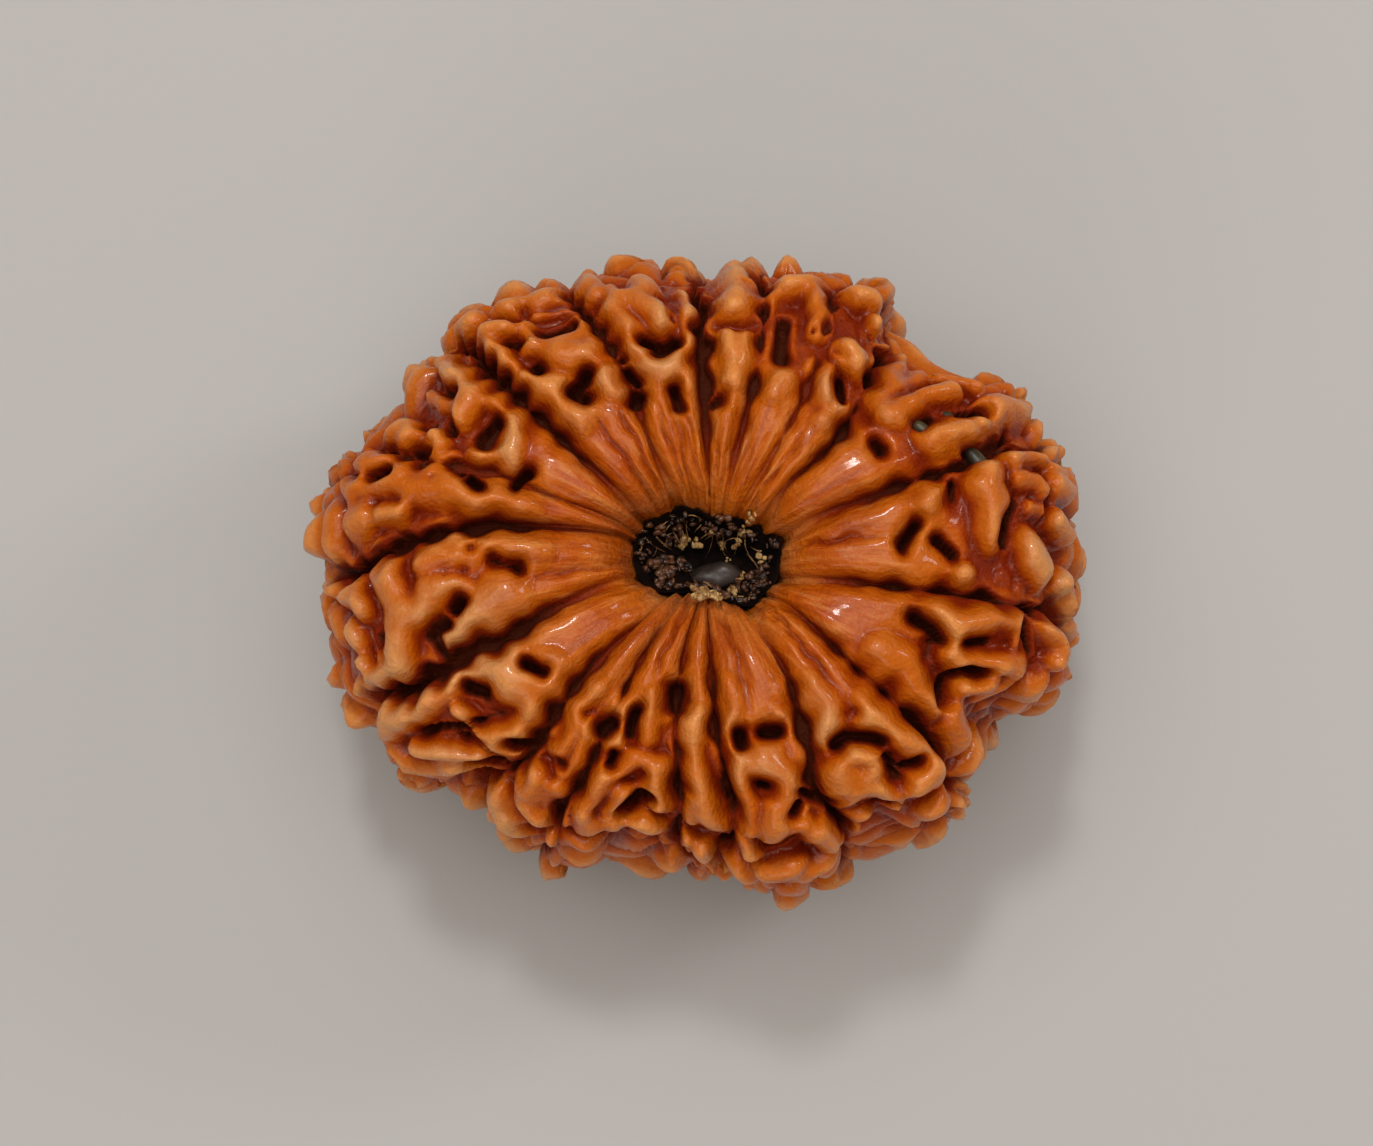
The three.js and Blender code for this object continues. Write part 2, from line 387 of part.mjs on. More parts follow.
function furrowCarve(bearing, share, p) {
  let deepest = 0;
  for (const [mouth, end, endShare] of FURROWS) {
    const at = lerp(mouth, end, clamp((share - FURROW.start) / (endShare - FURROW.start)));
    const apart = Math.abs(turn(bearing - at + 180) - 180) * RAD * Math.hypot(p.x, p.y);
    const begun = smooth(FURROW.start - 8, FURROW.start + 6, share);
    const ended = smooth(endShare - 3, endShare + 2, share);
    const depth = FURROW.depth * begun * (1 - ended);
    const cut = depth * (1 - rounded((apart - FURROW.half) / FURROW.shoulder));
    deepest = Math.max(deepest, cut);
  }
  return deepest;
}

function relief(k, t, bearing, share, p) { // mm outward from the smooth body
  const pull = new THREE.Vector3(...[11, 23, 37].map((seed) => latticeNoise(p, WARP.size, seed)));
  const warped = p.clone().addScaledVector(pull, WARP.far);
  let carve = Math.max(grooveCarve(k, t, share), furrowCarve(bearing, share, p));
  for (const pit of pits) {
    const wall = PIT_WALL.least + PIT_WALL.perHalf * pit.half;
    const cut = pit.depth * (1 - rounded((distanceTo(pit, warped) - PIT_FLOOR * pit.half) / wall));
    carve = Math.max(carve, cut);
  }
  const mirrored = share > 100 ? 200 - share : share;
  const outer = smooth(46, 62, mirrored);
  const packed = share > 100 ? outer : smooth(72, 86, share);
  let rise = (LUMPS.rise * packedLumps(warped, LUMPS.size, 2) * packed) ** BLEND;
  for (const knob of knobs) {
    const within = clamp(1 - (distanceTo(knob, warped) / (KNOB_WIDE * knob.half)) ** 2);
    rise += (knob.depth * within ** KNOB_POWER * lerp(KNOB_BY_MOUTH, 1, outer)) ** BLEND;
  }
  return (rise ** (1 / BLEND) - GROUND * outer) * clamp(1 - carve / FADE) - carve;
}

function seedGeometry() {
  const perLobe = GROOVES.map((groove, k) => {
    const turned = grooveBearing(k + 1, 75) - grooveBearing(k, 75);
    return Math.max(3, Math.round((turned * COLUMNS_WANTED) / 360));
  });
  const columns = perLobe.flatMap((count, k) => Array.from({ length: count }, (_, i) => {
    const even = i / count;
    return { k, t: even - CLOSER * Math.sin(2 * Math.PI * even) / (2 * Math.PI) };
  }));
  const shares = [];
  let from = 0;
  for (const band of ROWS) {
    for (let i = 0; i < band.rows; i += 1) shares.push(lerp(from, band.to, i / band.rows));
    from = band.to;
  }
  const positions = [];
  for (const share of shares) {
    for (const { k, t } of columns) {
      const bearing = lerp(grooveBearing(k, share), grooveBearing(k + 1, share), t);
      const p = smoothBody(bearing, share);
      p.addScaledVector(reliefWay(bearing, share), relief(k, t, bearing, share, p));
      positions.push(p.x + CANAL_AT.x, p.y + CANAL_AT.y, Math.max(p.z, FLAT_CUT) - FLAT_CUT);
    }
  }
  const apart = (a, b) => Math.hypot(...[0, 1, 2].map((i) => positions[3 * a + i] - positions[3 * b + i]));
  const index = [];
  shares.forEach((_, row) => columns.forEach((__, column) => {
    const nextRow = ((row + 1) % shares.length) * columns.length;
    const nextColumn = (column + 1) % columns.length;
    const a = row * columns.length + column;
    const b = row * columns.length + nextColumn;
    const c = nextRow + nextColumn;
    const d = nextRow + column;
    if (apart(a, c) < apart(b, d)) index.push(a, c, b, a, d, c); // each square splits on its short diagonal
    else index.push(a, d, b, b, d, c);
  }));
  const geometry = new THREE.BufferGeometry();
  geometry.setAttribute('position', new THREE.Float32BufferAttribute(positions, 3));
  geometry.setIndex(index);
  geometry.computeVertexNormals();
  return geometry;
}

const stone = new THREE.MeshStandardMaterial({ color: 0xb5652a, roughness: 0.42, metalness: 0 });
const seed = new THREE.Mesh(seedGeometry(), stone);
seed.name = 'seed';

const group = new THREE.Group();
group.add(seed);
export default group;
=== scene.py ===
import math
import bpy
import numpy as np
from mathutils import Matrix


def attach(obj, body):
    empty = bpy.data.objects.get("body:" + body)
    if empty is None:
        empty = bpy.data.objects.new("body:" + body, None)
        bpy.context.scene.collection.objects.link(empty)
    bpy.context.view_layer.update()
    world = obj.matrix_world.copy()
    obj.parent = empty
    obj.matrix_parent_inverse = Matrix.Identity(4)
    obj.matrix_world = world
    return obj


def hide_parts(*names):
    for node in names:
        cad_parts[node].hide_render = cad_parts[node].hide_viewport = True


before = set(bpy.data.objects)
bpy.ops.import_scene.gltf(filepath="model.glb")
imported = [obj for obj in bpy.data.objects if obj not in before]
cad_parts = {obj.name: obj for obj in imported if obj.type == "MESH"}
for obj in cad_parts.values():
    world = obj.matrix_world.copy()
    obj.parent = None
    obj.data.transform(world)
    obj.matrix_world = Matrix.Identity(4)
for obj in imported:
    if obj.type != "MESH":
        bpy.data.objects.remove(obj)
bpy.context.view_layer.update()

# A rudraksha seed seen from above, its canal upright. Sizes are in millimetres until a mesh is made.
# A place on the seed is a bearing in degrees and a share of the way over its wall:
# 0 at mid canal, 25 at the mouth, 50 on the top ring, 100 at the belly, 150 on the lower ring.
scene = bpy.context.scene
metresPerMm = 0.001

seedForm = {
    "height": 23.0,
    "canalAt": (0.5, -0.1),  # canal axis from the middle of the outline
    # from the axis to the canal wall and to the knob tops of the flank, every 15 degrees
    "canal": [2.75, 2.9, 2.4, 2.1, 1.8, 1.55, 1.6, 2.0, 2.4, 2.5, 2.9, 3.0,
              2.95, 2.75, 2.25, 1.6, 1.2, 1.05, 1.0, 1.25, 1.8, 2.4, 2.45, 2.75],
    "reach": [17.3, 17.8, 16.95, 14.4, 16.1, 15.4, 14.8, 15.25, 15.8, 17.1, 16.7, 18.5,
              18.35, 18.15, 17.5, 15.25, 15.6, 13.9, 14.4, 15.6, 15.3, 16.4, 15.25, 17.8],
    "flankPower": 2.3, "mouthPower": 4.5,  # roundness of the section outside and squareness inside
    "meanHalfSpan": 6.9,  # half of the mean wall, canal to flank
    "flatCut": 0.5,  # worn off the lowest ribs and lumps
    "skin": (46, 62),  # shares over which the knobbly skin takes over from the ribs by the mouth
    "ribs": (22, 30, 44, 54),  # shares where those ribs begin and end
    "ground": 1.7,  # how far the skin between knobs lies inside the smooth body
    "lean": 1.0, "leanShares": (40, 56, 66, 88),  # how far the relief leans from the outward way, and where
    "fade": 1.3,  # depth of a pit by which its knobs have faded out
    "blend": 5,  # knobs and lumps add up as this power, so that they run smoothly together
    "columns": 480, "closer": 0.3,  # columns round the seed, and how much closer they stand by the grooves
}
knobForm = {
    "wide": 1.45,  # a knob's foot, in its half widths
    "steep": 2.0, "tall": 1.7,  # its rise, in its foot's half widths, and the most that it rises
    "power": 0.8,  # roundness of its section
    "byMouth": 0.3,  # share of the rise left by the mouth
}
pitForm = {
    "pit": 2.6, "hollow": 0.7, "notch": 1.4,  # depths
    "floor": 0.4,  # share of a pit's half width that is flat floor
    "wall": 0.35, "wallPerHalf": 0.8,  # how wide its wall is: at least, and more for each mm of half width
}
lumpForm = {"size": 2.4, "rise": 2.2, "shares": (72, 86),  # packed lumps of the flank and the underside
            "smallSize": 1.4, "smallRise": 0.4,  # smaller lumps on all of the skin
            "streakRise": 0.1}  # fine lengthwise wrinkles of the ribs by the mouth
warpForm = {"far": 0.32, "size": 2.3, "fine": 0.35, "fineSize": 0.8}  # how listed places are pulled about
rowBands = [(20, 8), (30, 10), (80, 110), (100, 22), (130, 24), (170, 26), (200, 8)]  # up to a share, rows

grooveForm = {
    "depthShares": [0, 20, 30, 40, 50, 60, 70, 100],
    "depths": [0.1, 0.15, 0.35, 1.1, 2.0, 2.6, 3.0, 2.8],  # at those shares, for a groove of depth 1
    "floor": 0.3,  # share of a groove's half width that is flat floor
    "shoulderMouth": 0.65, "shoulderFlank": 1.15,  # how far a lobe takes to round over
    "wobble": 0.22,  # how far the edges swing
    "wander": 2.6,  # degrees that the grooves swing across the flank
    "lowerMouth": 172,  # the share where they are evenly spread
    "shares": [30, 40, 50, 60, 70, 100],
}
grooves = [  # bearings at those shares, then half width by the mouth, half width on the flank, depth
    ([16, 19.5, 20.3, 20.5, 22, 22], 0.3, 0.4, 1),
    ([34, 41, 43, 47, 50, 50], 0.3, 0.4, 1),
    ([56, 58, 59, 63, 65, 65], 0.3, 0.2, 0.6),
    ([73, 75.5, 75, 77, 79, 80], 0.35, 0.45, 0.8),
    ([91, 91.5, 91.5, 91.5, 91, 90], 0.35, 0.5, 1.1),
    ([121, 118, 114.5, 115.5, 116.5, 117], 0.25, 0.3, 0.8),
    ([149, 143.5, 141, 139.8, 139.7, 140], 0.3, 0.5, 1.1),
    ([160, 160, 159, 161, 160, 160], 0.2, 0.25, 0.6),
    ([165, 169, 172.3, 176.8, 180, 182], 0.3, 0.6, 1.1),
    ([193, 197.5, 201.5, 202.7, 204.7, 206.5], 0.4, 0.6, 1.1),
    ([219, 222.5, 224.3, 227.3, 226.5, 225], 0.4, 0.35, 0.9),
    ([231, 236, 238.7, 240.3, 239.8, 239], 0.2, 0.25, 0.8),
    ([254, 255.5, 258.5, 261.7, 264.2, 266], 0.25, 0.3, 0.9),
    ([271, 270.8, 271.7, 274, 274, 273], 0.35, 0.38, 1),
    ([310, 305.5, 299.7, 295, 295.7, 298], 0.3, 0.3, 0.9),
    ([329, 325, 322, 322, 321.8, 320], 0.3, 0.45, 1),
    ([346, 349.5, 351, 352, 351.5, 350], 0.4, 0.45, 1.1),
]
# Bearing at the mouth, then the bearing and share where each furrow ends
furrows = [[7, 6, 45], [50, 52.5, 46], [70, 72.5, 47], [78, 79, 44], [85, 87, 44], [97, 97, 47],
           [104.5, 103.5, 46], [111, 109.5, 47], [125, 122.5, 48], [134, 130, 48], [184, 187, 44],
           [245, 247.5, 46], [284, 285, 48], [318, 313.5, 48]]
furrowForm = {"half": 0.05, "shoulder": 0.45, "depth": 0.35, "start": 30, "wander": 0.12}

# Each row of notches, pits, hollows and knobs: half width, then bearing and share of each point on it
notches = [
    [0.2, 99, 72, 99, 60], [0.2, 107.5, 75, 107.5, 68], [0.25, 125.3, 72, 126, 68],
    [0.25, 153, 76, 153, 70],
    [0.25, 159.3, 76, 159, 70], [0.2, 165.5, 80, 165.5, 70], [0.25, 189, 80, 189.3, 75],
    [0.3, 198.3, 82, 198, 75], [0.25, 237.5, 84, 238.3, 76], [0.25, 252.3, 82, 252.3, 75],
    [0.3, 266.3, 84, 266.3, 78], [0.3, 333.8, 84, 333.8, 77], [0.15, 65, 70, 65, 60],
]
pits = [
    [0.45, 31.8, 56.5, 32.3, 59.5], [0.4, 31.5, 62.5, 29.8, 65, 28.3, 67],
    [0.75, 20.8, 60, 21.5, 64, 22.5, 67], [0.5, 22.5, 67, 24, 70.5], [0.5, 9.3, 64.5, 5.5, 63, 2.5, 62.5],
    [0.35, 15.5, 54.8, 11.5, 54.7], [0.42, 7.8, 49.3, 2.2, 48], [0.4, 4, 52.8, 1, 54.6],
    [0.35, 34, 50, 31.5, 49.5], [0.3, 102.5, 49, 102, 46.5], [0.5, 91.5, 47.5, 88, 48.5],
    [0.6, 73, 62, 71, 58, 69, 55], [0.5, 52.5, 56, 50.5, 55.5], [0.4, 107.5, 57.3, 104, 56],
    [0.5, 99.5, 56.5, 104.5, 55], [0.4, 115.5, 59, 114.8, 57, 114, 54.5], [0.3, 113.5, 52.5, 112.5, 50.8],
    [0.45, 115.8, 47, 113.8, 49], [0.75, 125, 64, 121, 63.8], [0.5, 132.3, 57.8, 132.5, 57],
    [0.55, 124, 53.5, 125.5, 52.3], [0.55, 126.5, 51.8, 129.3, 51.3, 127.8, 49.5],
    [0.3, 132.5, 64.5, 131, 63.5], [0.6, 148, 57, 150, 57.3, 152.3, 57.2], [0.35, 146.3, 69.5, 146, 66.3],
    [0.4, 153.5, 67], [0.3, 151, 64.5, 153.8, 61.3], [0.45, 159, 63.5, 159.3, 61.3],
    [0.35, 165.5, 67.5, 164, 65], [0.3, 161.8, 56, 162.3, 54.5], [0.4, 162.3, 53.3, 162.7, 52.3],
    [0.5, 155.8, 48, 159, 48.3], [0.6, 180.5, 69, 181.5, 72, 182, 76], [0.45, 193.3, 69.3, 192.5, 67.5],
    [0.6, 196.5, 60, 195, 57.5], [0.45, 192.5, 55.5, 191.3, 54.5], [0.5, 196.5, 59.5, 200, 59.8, 203, 60.3],
    [0.35, 183, 49, 184, 46.5], [0.55, 209.3, 59.3, 211.5, 57.7, 214.5, 58.5, 217.5, 60],
    [0.45, 216.5, 60.5, 216.5, 63], [0.6, 211.5, 71, 213.5, 67.5, 216, 65.8], [0.55, 217, 68],
    [0.25, 212, 51.3, 216, 51], [0.5, 227, 60, 225.5, 63.5, 224, 65], [0.6, 221.5, 73.5, 225, 70.5],
    [0.42, 232.8, 62.3, 234.3, 62], [0.55, 239.5, 54, 241, 52.5], [0.4, 247, 51, 247.3, 54],
    [0.3, 245.3, 57, 245.8, 58.8], [0.5, 254.8, 66, 252.8, 69.5], [0.6, 258, 47, 258.5, 50.5],
    [0.45, 280.5, 51, 280.8, 52.5], [0.45, 287.5, 51, 290.3, 51.5], [0.42, 283.2, 59, 284.3, 59.2],
    [0.35, 288.8, 64, 290.3, 62.8], [0.5, 292.3, 61.5, 294.5, 63.5, 296.5, 66],
    [0.6, 282.3, 70.8, 286, 69.3],
    [0.5, 303.3, 56.5, 306.5, 55.5, 310, 56.5, 312.5, 58], [0.5, 310.8, 61, 309, 65.5],
    [0.4, 312, 63.8, 315, 64.8], [0.4, 297.2, 72, 297.5, 75], [0.5, 309.3, 71.5, 312, 72.3],
    [0.4, 303.5, 69.5, 306, 70.3], [0.35, 341, 58.5, 342.3, 60.5],
    [0.8, 347.3, 67.8, 344.8, 68.8, 342.8, 70.3], [0.5, 343, 50.5, 341, 53, 339, 55],
    [0.45, 337.5, 55, 335, 56.5, 333.5, 57.3], [0.5, 336.3, 66, 335.3, 63.5, 332, 62.7, 329, 65],
]
hollows = [
    [0.35, 82, 59.5], [0.3, 57.5, 58.5, 55.5, 59], [0.35, 55.5, 64], [0.3, 82.5, 69.5], [0.5, 115.5, 65.5],
    [0.25, 165, 57.5], [0.4, 170.5, 65.5, 169.8, 63], [0.4, 179.5, 51.5], [0.35, 184.5, 54.5, 184.5, 52.5],
    [0.35, 197, 68.5], [0.4, 232.5, 53.5, 234.5, 52.5], [0.5, 240.8, 63.5, 241.2, 60],
    [0.4, 239.5, 68.5, 240.3, 67], [0.35, 248, 66.5, 248, 69], [0.35, 252.5, 62, 253, 61],
    [0.35, 313.5, 51.8],
    [0.4, 301.5, 67.8, 303.5, 68], [0.5, 343.8, 62, 344.5, 64], [0.6, 332.5, 76.5, 334.5, 75.5],
    [0.6, 341.8, 74, 340, 75.5], [0.35, 338.5, 73.8, 335.5, 75],
]
knobs = [
    [0.6, 46.3, 64.5, 47.8, 70, 48, 76], [0.5, 42, 58.5, 42.5, 64, 42.5, 71], [0.6, 37, 62.5, 36, 67],
    [0.7, 38, 57, 36.5, 60], [0.5, 39.5, 71.5, 36, 72, 33.5, 71], [0.9, 27.5, 57, 26.5, 61.5],
    [0.7, 27.3, 65.5, 28.2, 69, 28.5, 74, 27, 80], [0.6, 18, 65.5, 18.8, 69.5, 18.5, 74, 16.5, 78],
    [0.8, 17, 61, 13.5, 59.5, 9.5, 60.5, 5, 60.5], [0.5, 14, 65, 13.5, 69, 12, 70.5],
    [0.8, 13.5, 75, 12, 80],
    [0.4, 9, 67, 8.5, 70.5], [0.6, 7.5, 74.5, 5, 80], [0.9, 1.5, 67.5, 359, 70.5], [0.8, 358, 78],
    [0.5, 16, 51.8, 13, 51], [0.5, 356.5, 56], [0.9, 84, 70, 84, 78], [0.9, 84.5, 63.5, 83.5, 66],
    [0.5, 84.5, 57, 83.5, 51], [0.5, 79.5, 57, 80.5, 51], [0.3, 90, 61, 86.5, 66.5],
    [0.45, 94.5, 68, 94, 62, 94.5, 58, 96, 55], [0.6, 95.5, 52.5, 94, 51],
    [0.8, 74, 70, 70.5, 71.5, 68, 70.5],
    [0.4, 76, 68, 78, 62.5], [0.5, 69, 69, 66, 64, 63.5, 60], [0.4, 66.5, 52, 68, 49],
    [0.6, 58.5, 54.5, 56, 52.5], [0.5, 49.5, 54, 50.5, 50.5], [0.7, 55, 60, 51.5, 61],
    [0.8, 61.5, 70.5, 58.5, 72], [0.5, 54.5, 69], [0.35, 101.5, 52.7], [0.7, 107, 66, 104, 62.5, 102, 60.5],
    [0.7, 104.5, 69.5, 103.5, 67], [0.6, 109, 69, 110.5, 64, 110, 60, 109.5, 56],
    [0.75, 112.8, 74.5, 113.3, 69], [0.5, 119, 64, 118.3, 59.5, 117.8, 55.5], [0.6, 119.5, 52, 118.5, 49.5],
    [0.6, 108, 53.5, 104.5, 52.5, 101.5, 53], [0.9, 122, 74, 117.5, 74], [0.4, 124, 69.5, 117.5, 68.5],
    [0.5, 130, 61.5, 126, 60.5, 121.5, 60.5], [0.8, 127, 58.5, 123.5, 57.5, 121, 56.5],
    [0.6, 136.3, 67.5, 136.3, 64, 137, 60.5], [0.7, 136, 56, 134, 53.5, 132.5, 51, 133, 47],
    [0.8, 137, 75, 134, 74], [0.7, 128.5, 73.5, 126, 73], [0.6, 133.5, 68.5, 131, 67],
    [0.5, 127.5, 66, 129, 62.5], [0.6, 143, 77, 142.5, 72, 143, 68],
    [0.8, 143.5, 67, 144.5, 64, 147, 62.5, 150, 62.5], [0.45, 149, 72, 148.8, 66], [1, 146, 80, 148.5, 80],
    [0.6, 156.3, 62.5, 158, 60.5], [0.8, 156.5, 70.5, 157, 67], [1, 162.3, 71, 163.3, 67],
    [0.75, 164.5, 64.5, 163, 61.5, 162.3, 58, 162, 56.5], [0.65, 156.5, 54.5, 154.5, 52.5],
    [0.6, 146.5, 55, 149.5, 53.5, 152, 53], [0.5, 143.3, 61.5, 144, 57.5, 145.5, 54],
    [0.9, 167.5, 61, 166.5, 56, 167, 51, 167.5, 46], [0.9, 167, 69, 167, 64], [0.6, 172, 64.5, 172, 62],
    [0.8, 173, 68, 174, 70.5], [0.8, 168, 73, 169, 71], [1.1, 173.5, 78, 176.5, 78],
    [0.8, 178.5, 55.5, 178, 50, 177.8, 45],
    [0.9, 181, 65, 183.5, 64, 187, 63, 191, 63.5, 195, 64.5, 198.5, 66.5, 200, 70, 200.3, 73],
    [0.8, 190.5, 61.5, 191, 59.5], [0.8, 184.5, 74, 185, 71.5], [0.7, 187.5, 70], [0.8, 191.5, 74],
    [0.6, 196.5, 73.5], [0.4, 195.5, 69.5], [1.1, 201.5, 79, 203.5, 79, 204, 75],
    [0.95, 193, 49, 194.5, 51, 196, 54, 197.8, 56.8], [0.35, 186.5, 48, 187, 46], [0.6, 182, 58, 182.5, 53],
    [0.7, 187.5, 58, 188, 54.5], [0.7, 207.5, 79.5, 207.3, 74, 207.3, 68, 207, 62, 207.3, 57, 207.5, 53],
    [0.5, 212.5, 62.5, 214.5, 62.5, 218, 64.5], [0.6, 213.5, 74, 217, 72.5, 221, 70.5],
    [0.8, 221, 74, 218.5, 76], [0.8, 211.5, 82, 214.5, 82], [0.8, 212, 54.5, 216, 54.3, 219.5, 56],
    [0.9, 217.5, 51.8, 220.5, 54, 222.5, 57, 223.8, 61, 222, 65], [0.9, 212, 55.5, 213.5, 53.5],
    [0.55, 229.5, 50, 229.8, 54, 231.5, 58, 231, 60.5],
    [0.55, 235, 55, 237.3, 57.3, 237.5, 60.5, 235, 62.5],
    [0.75, 230.5, 67, 231.5, 69.5], [0.8, 233.5, 72.5, 236.5, 73.5, 239, 71.5], [1, 226.5, 80, 230, 83],
    [0.9, 232, 84], [0.7, 219, 77.5, 216, 80], [0.7, 236.5, 66, 237.5, 68.5], [0.45, 242.3, 50, 243.5, 55],
    [0.45, 252, 49, 252.3, 55], [0.65, 246, 60.5, 244.5, 63.5, 243.5, 67], [0.7, 245, 69, 246.5, 72.5],
    [0.5, 248.5, 60, 251, 58, 254, 58.5, 256, 61], [0.7, 257, 59.5, 257, 64, 258.5, 66.5],
    [0.9, 243, 79, 247, 79], [0.7, 255, 72, 258.5, 73.5], [0.6, 250.5, 65, 250, 69, 250.5, 73],
    [0.6, 265, 51.5, 263.8, 54.5, 266.5, 58, 268.3, 61, 269.5, 65.5, 272, 69], [0.5, 265.5, 63, 266, 68],
    [0.5, 275.5, 46, 277, 50.5], [0.25, 284.5, 52.5, 287.5, 53.2, 290.5, 53.3],
    [0.4, 294.3, 49.5, 295.5, 52.5, 294.5, 55.5], [0.6, 279, 54.5, 278.3, 58, 277.8, 63, 278.5, 67],
    [0.9, 286, 56, 289, 58.5, 288.5, 62, 286, 65], [0.6, 283.5, 63, 284, 67.5],
    [0.5, 290.5, 66.5, 291, 69.5],
    [0.7, 293, 69, 294, 74], [0.6, 276.8, 70, 278.3, 73], [0.9, 273.5, 80, 276.5, 82],
    [0.8, 281, 78, 286, 76.5], [0.9, 288, 80, 292, 79], [0.6, 297.5, 76], [0.65, 269, 75.5, 270, 77.5],
    [0.6, 264, 74.5, 262, 78], [0.8, 300, 60.5, 300, 65.5], [0.8, 304, 47, 303.5, 52, 302.5, 54.5],
    [0.5, 317.5, 53, 314, 53.8], [0.7, 304.5, 58.5, 307.5, 61, 305, 64], [0.7, 299.5, 71.5],
    [0.6, 305, 66.5, 303, 66.5], [0.7, 344.5, 52.5, 345, 56, 347, 60, 348.2, 65],
    [0.35, 348.5, 66, 345, 65.5, 341.5, 67], [0.7, 342.8, 55.5, 344, 53.5],
    [0.7, 349.5, 73, 348, 76, 345.5, 77.5, 343.8, 77],
    [0.7, 337, 58, 336.5, 61, 337.5, 64.5, 339.5, 67, 340, 69.5],
    [0.5, 339.5, 70.5, 336.5, 72.3, 332.5, 71.8],
    [0.7, 333, 67, 335, 69.3], [0.7, 331, 52, 329.5, 56, 327, 60, 326.5, 64], [0.9, 327, 69, 325.5, 73.5],
    [0.7, 317.5, 53, 316.8, 57, 317.5, 61, 318, 65, 318.3, 69], [0.9, 312.5, 68, 315.5, 68.5, 317, 69.5],
    [0.6, 306, 67, 307.3, 70.8], [0.9, 311, 78, 315, 77.5], [1, 322.5, 81, 325.5, 82],
    [0.9, 337.5, 81, 338.5, 78],
]
fill = {"from": 86, "to": 158, "step": 9, "spacing": 4.0, "half": 0.45}  # seeded pits down each lobe


def draw(n):  # a fixed random number from 0 to 1 for each n
    s = np.sin(np.asarray(n, float) * 12.9898) * 43758.5453
    return s - np.floor(s)


def smoothStep(low, high, v):  # 0 below low, 1 above high, an S curve between
    t = np.clip((v - low) / (high - low), 0, 1)
    return t * t * (3 - 2 * t)


def signedPower(v, p):
    return np.sign(v) * np.abs(v) ** p


def rounded(t):  # 0 at a wall's foot, steep at first, easing over to 1: a quarter circle
    return np.sqrt(1 - (1 - np.clip(t, 0, 1)) ** 2)


def folded(share):  # the share of the same place on the upper half
    return np.where(share > 100, 200 - share, share)


def mixed(a, b, t):  # a where t is 0, b where it is 1
    return a * (1 - t) + b * t


cellSteps = np.array([1.0, 57.31, 113.73])  # number a lattice cell by its three coordinates


def latticeNoise(p, scale, seed=0):  # from -1 to 1: random corner values of a cubic lattice, eased between
    q = p / scale
    cell = np.floor(q)
    t = q - cell
    t = t * t * (3 - 2 * t)
    total = 0
    for corner in np.ndindex(2, 2, 2):
        weight = np.prod(np.where(corner, t, 1 - t), axis=-1)
        total = total + weight * draw((cell + corner) @ cellSteps + seed)
    return 2 * total - 1


# Packed lumps: one seeded middle a cell, and the gap between the two nearest middles
# as a quarter circle from 0 in the creases up to each lump's own height
def packedLumps(p, size, seed=0):
    q = p / size
    cell = np.floor(q)
    nearest = np.full(q.shape[:-1], 9.0)
    second = nearest.copy()
    tall = np.zeros(q.shape[:-1])
    for corner in np.ndindex(3, 3, 3):
        lump = cell + corner - 1
        number = lump @ cellSteps + seed
        jitter = np.stack([draw(number), draw(number + 17.17), draw(number + 31.31)], axis=-1) - 0.5
        distance = np.linalg.norm(q - lump - 0.5 - 0.8 * jitter, axis=-1)
        closer = distance < nearest
        second = np.where(closer, nearest, np.minimum(second, distance))
        tall = np.where(closer, draw(number + 5.5), tall)
        nearest = np.where(closer, distance, nearest)
    return rounded((second - nearest) / 0.8) * (0.5 + 0.5 * tall)


def sectionTable():  # the wall's upper half: (cos a, sin a) raised to 2 / power, with the length walked
    angle = math.pi * (1 - np.arange(2001) / 2000)
    power = np.where(np.cos(angle) < 0, seedForm["mouthPower"], seedForm["flankPower"])
    across = signedPower(np.cos(angle), 2 / power)
    up = signedPower(np.sin(angle), 2 / power)
    steps = np.hypot(np.diff(across) * seedForm["meanHalfSpan"], np.diff(up) * seedForm["height"] / 2)
    return across, up, np.concatenate([[0], np.cumsum(steps)])


tableAcross, tableUp, tableWalked = sectionTable()


def section(share):  # across and up at a share, the lower half mirrored from the upper
    wrapped = np.mod(share, 200)
    below = wrapped > 100
    walked = np.where(below, 200 - wrapped, wrapped) / 100 * tableWalked[-1]
    up = np.interp(walked, tableWalked, tableUp)
    return np.interp(walked, tableWalked, tableAcross), np.where(below, -up, up)


def ringValue(values, angle):  # a list of values round the seed, eased by half cosines between them
    place = np.mod(angle / (2 * math.pi), 1) * len(values)
    i = np.floor(place).astype(int) % len(values)
    t = (1 - np.cos(math.pi * (place - np.floor(place)))) / 2
    ring = np.array(values)
    return mixed(ring[i], ring[(i + 1) % len(values)], t)


def canalRadius(angle):
    return ringValue(seedForm["canal"], angle)


def smoothBody(bearing, share):  # canal wall to flank along the section, turned round the axis
    across, up = section(share)
    angle = np.radians(bearing)
    outer, inner = ringValue(seedForm["reach"], angle), canalRadius(angle)
    radius = (outer + inner) / 2 + (outer - inner) / 2 * across
    up = seedForm["height"] / 2 * (1 + up) + 0 * radius
    return np.stack([radius * np.cos(angle), radius * np.sin(angle), up], axis=-1)


def outward(bearing, share, step=0.4):  # unit normal: the way along the section crossed with the way round
    along = smoothBody(bearing, share + step) - smoothBody(bearing, share - step)
    around = smoothBody(bearing + step, share) - smoothBody(bearing - step, share)
    normal = np.cross(along, around)
    return normal / np.linalg.norm(normal, axis=-1, keepdims=True)


def reliefWay(bearing, share):  # outward, leaning up over the top ring and down under the lower one
    begin, full, ease, end = seedForm["leanShares"]
    mirrored = folded(share)
    lean = seedForm["lean"] * smoothStep(begin, full, mirrored) * (1 - smoothStep(ease, end, mirrored))
    way = outward(bearing, share)
    way[..., 2] += lean * np.where(share > 100, -1, 1)
    return way / np.linalg.norm(way, axis=-1, keepdims=True)


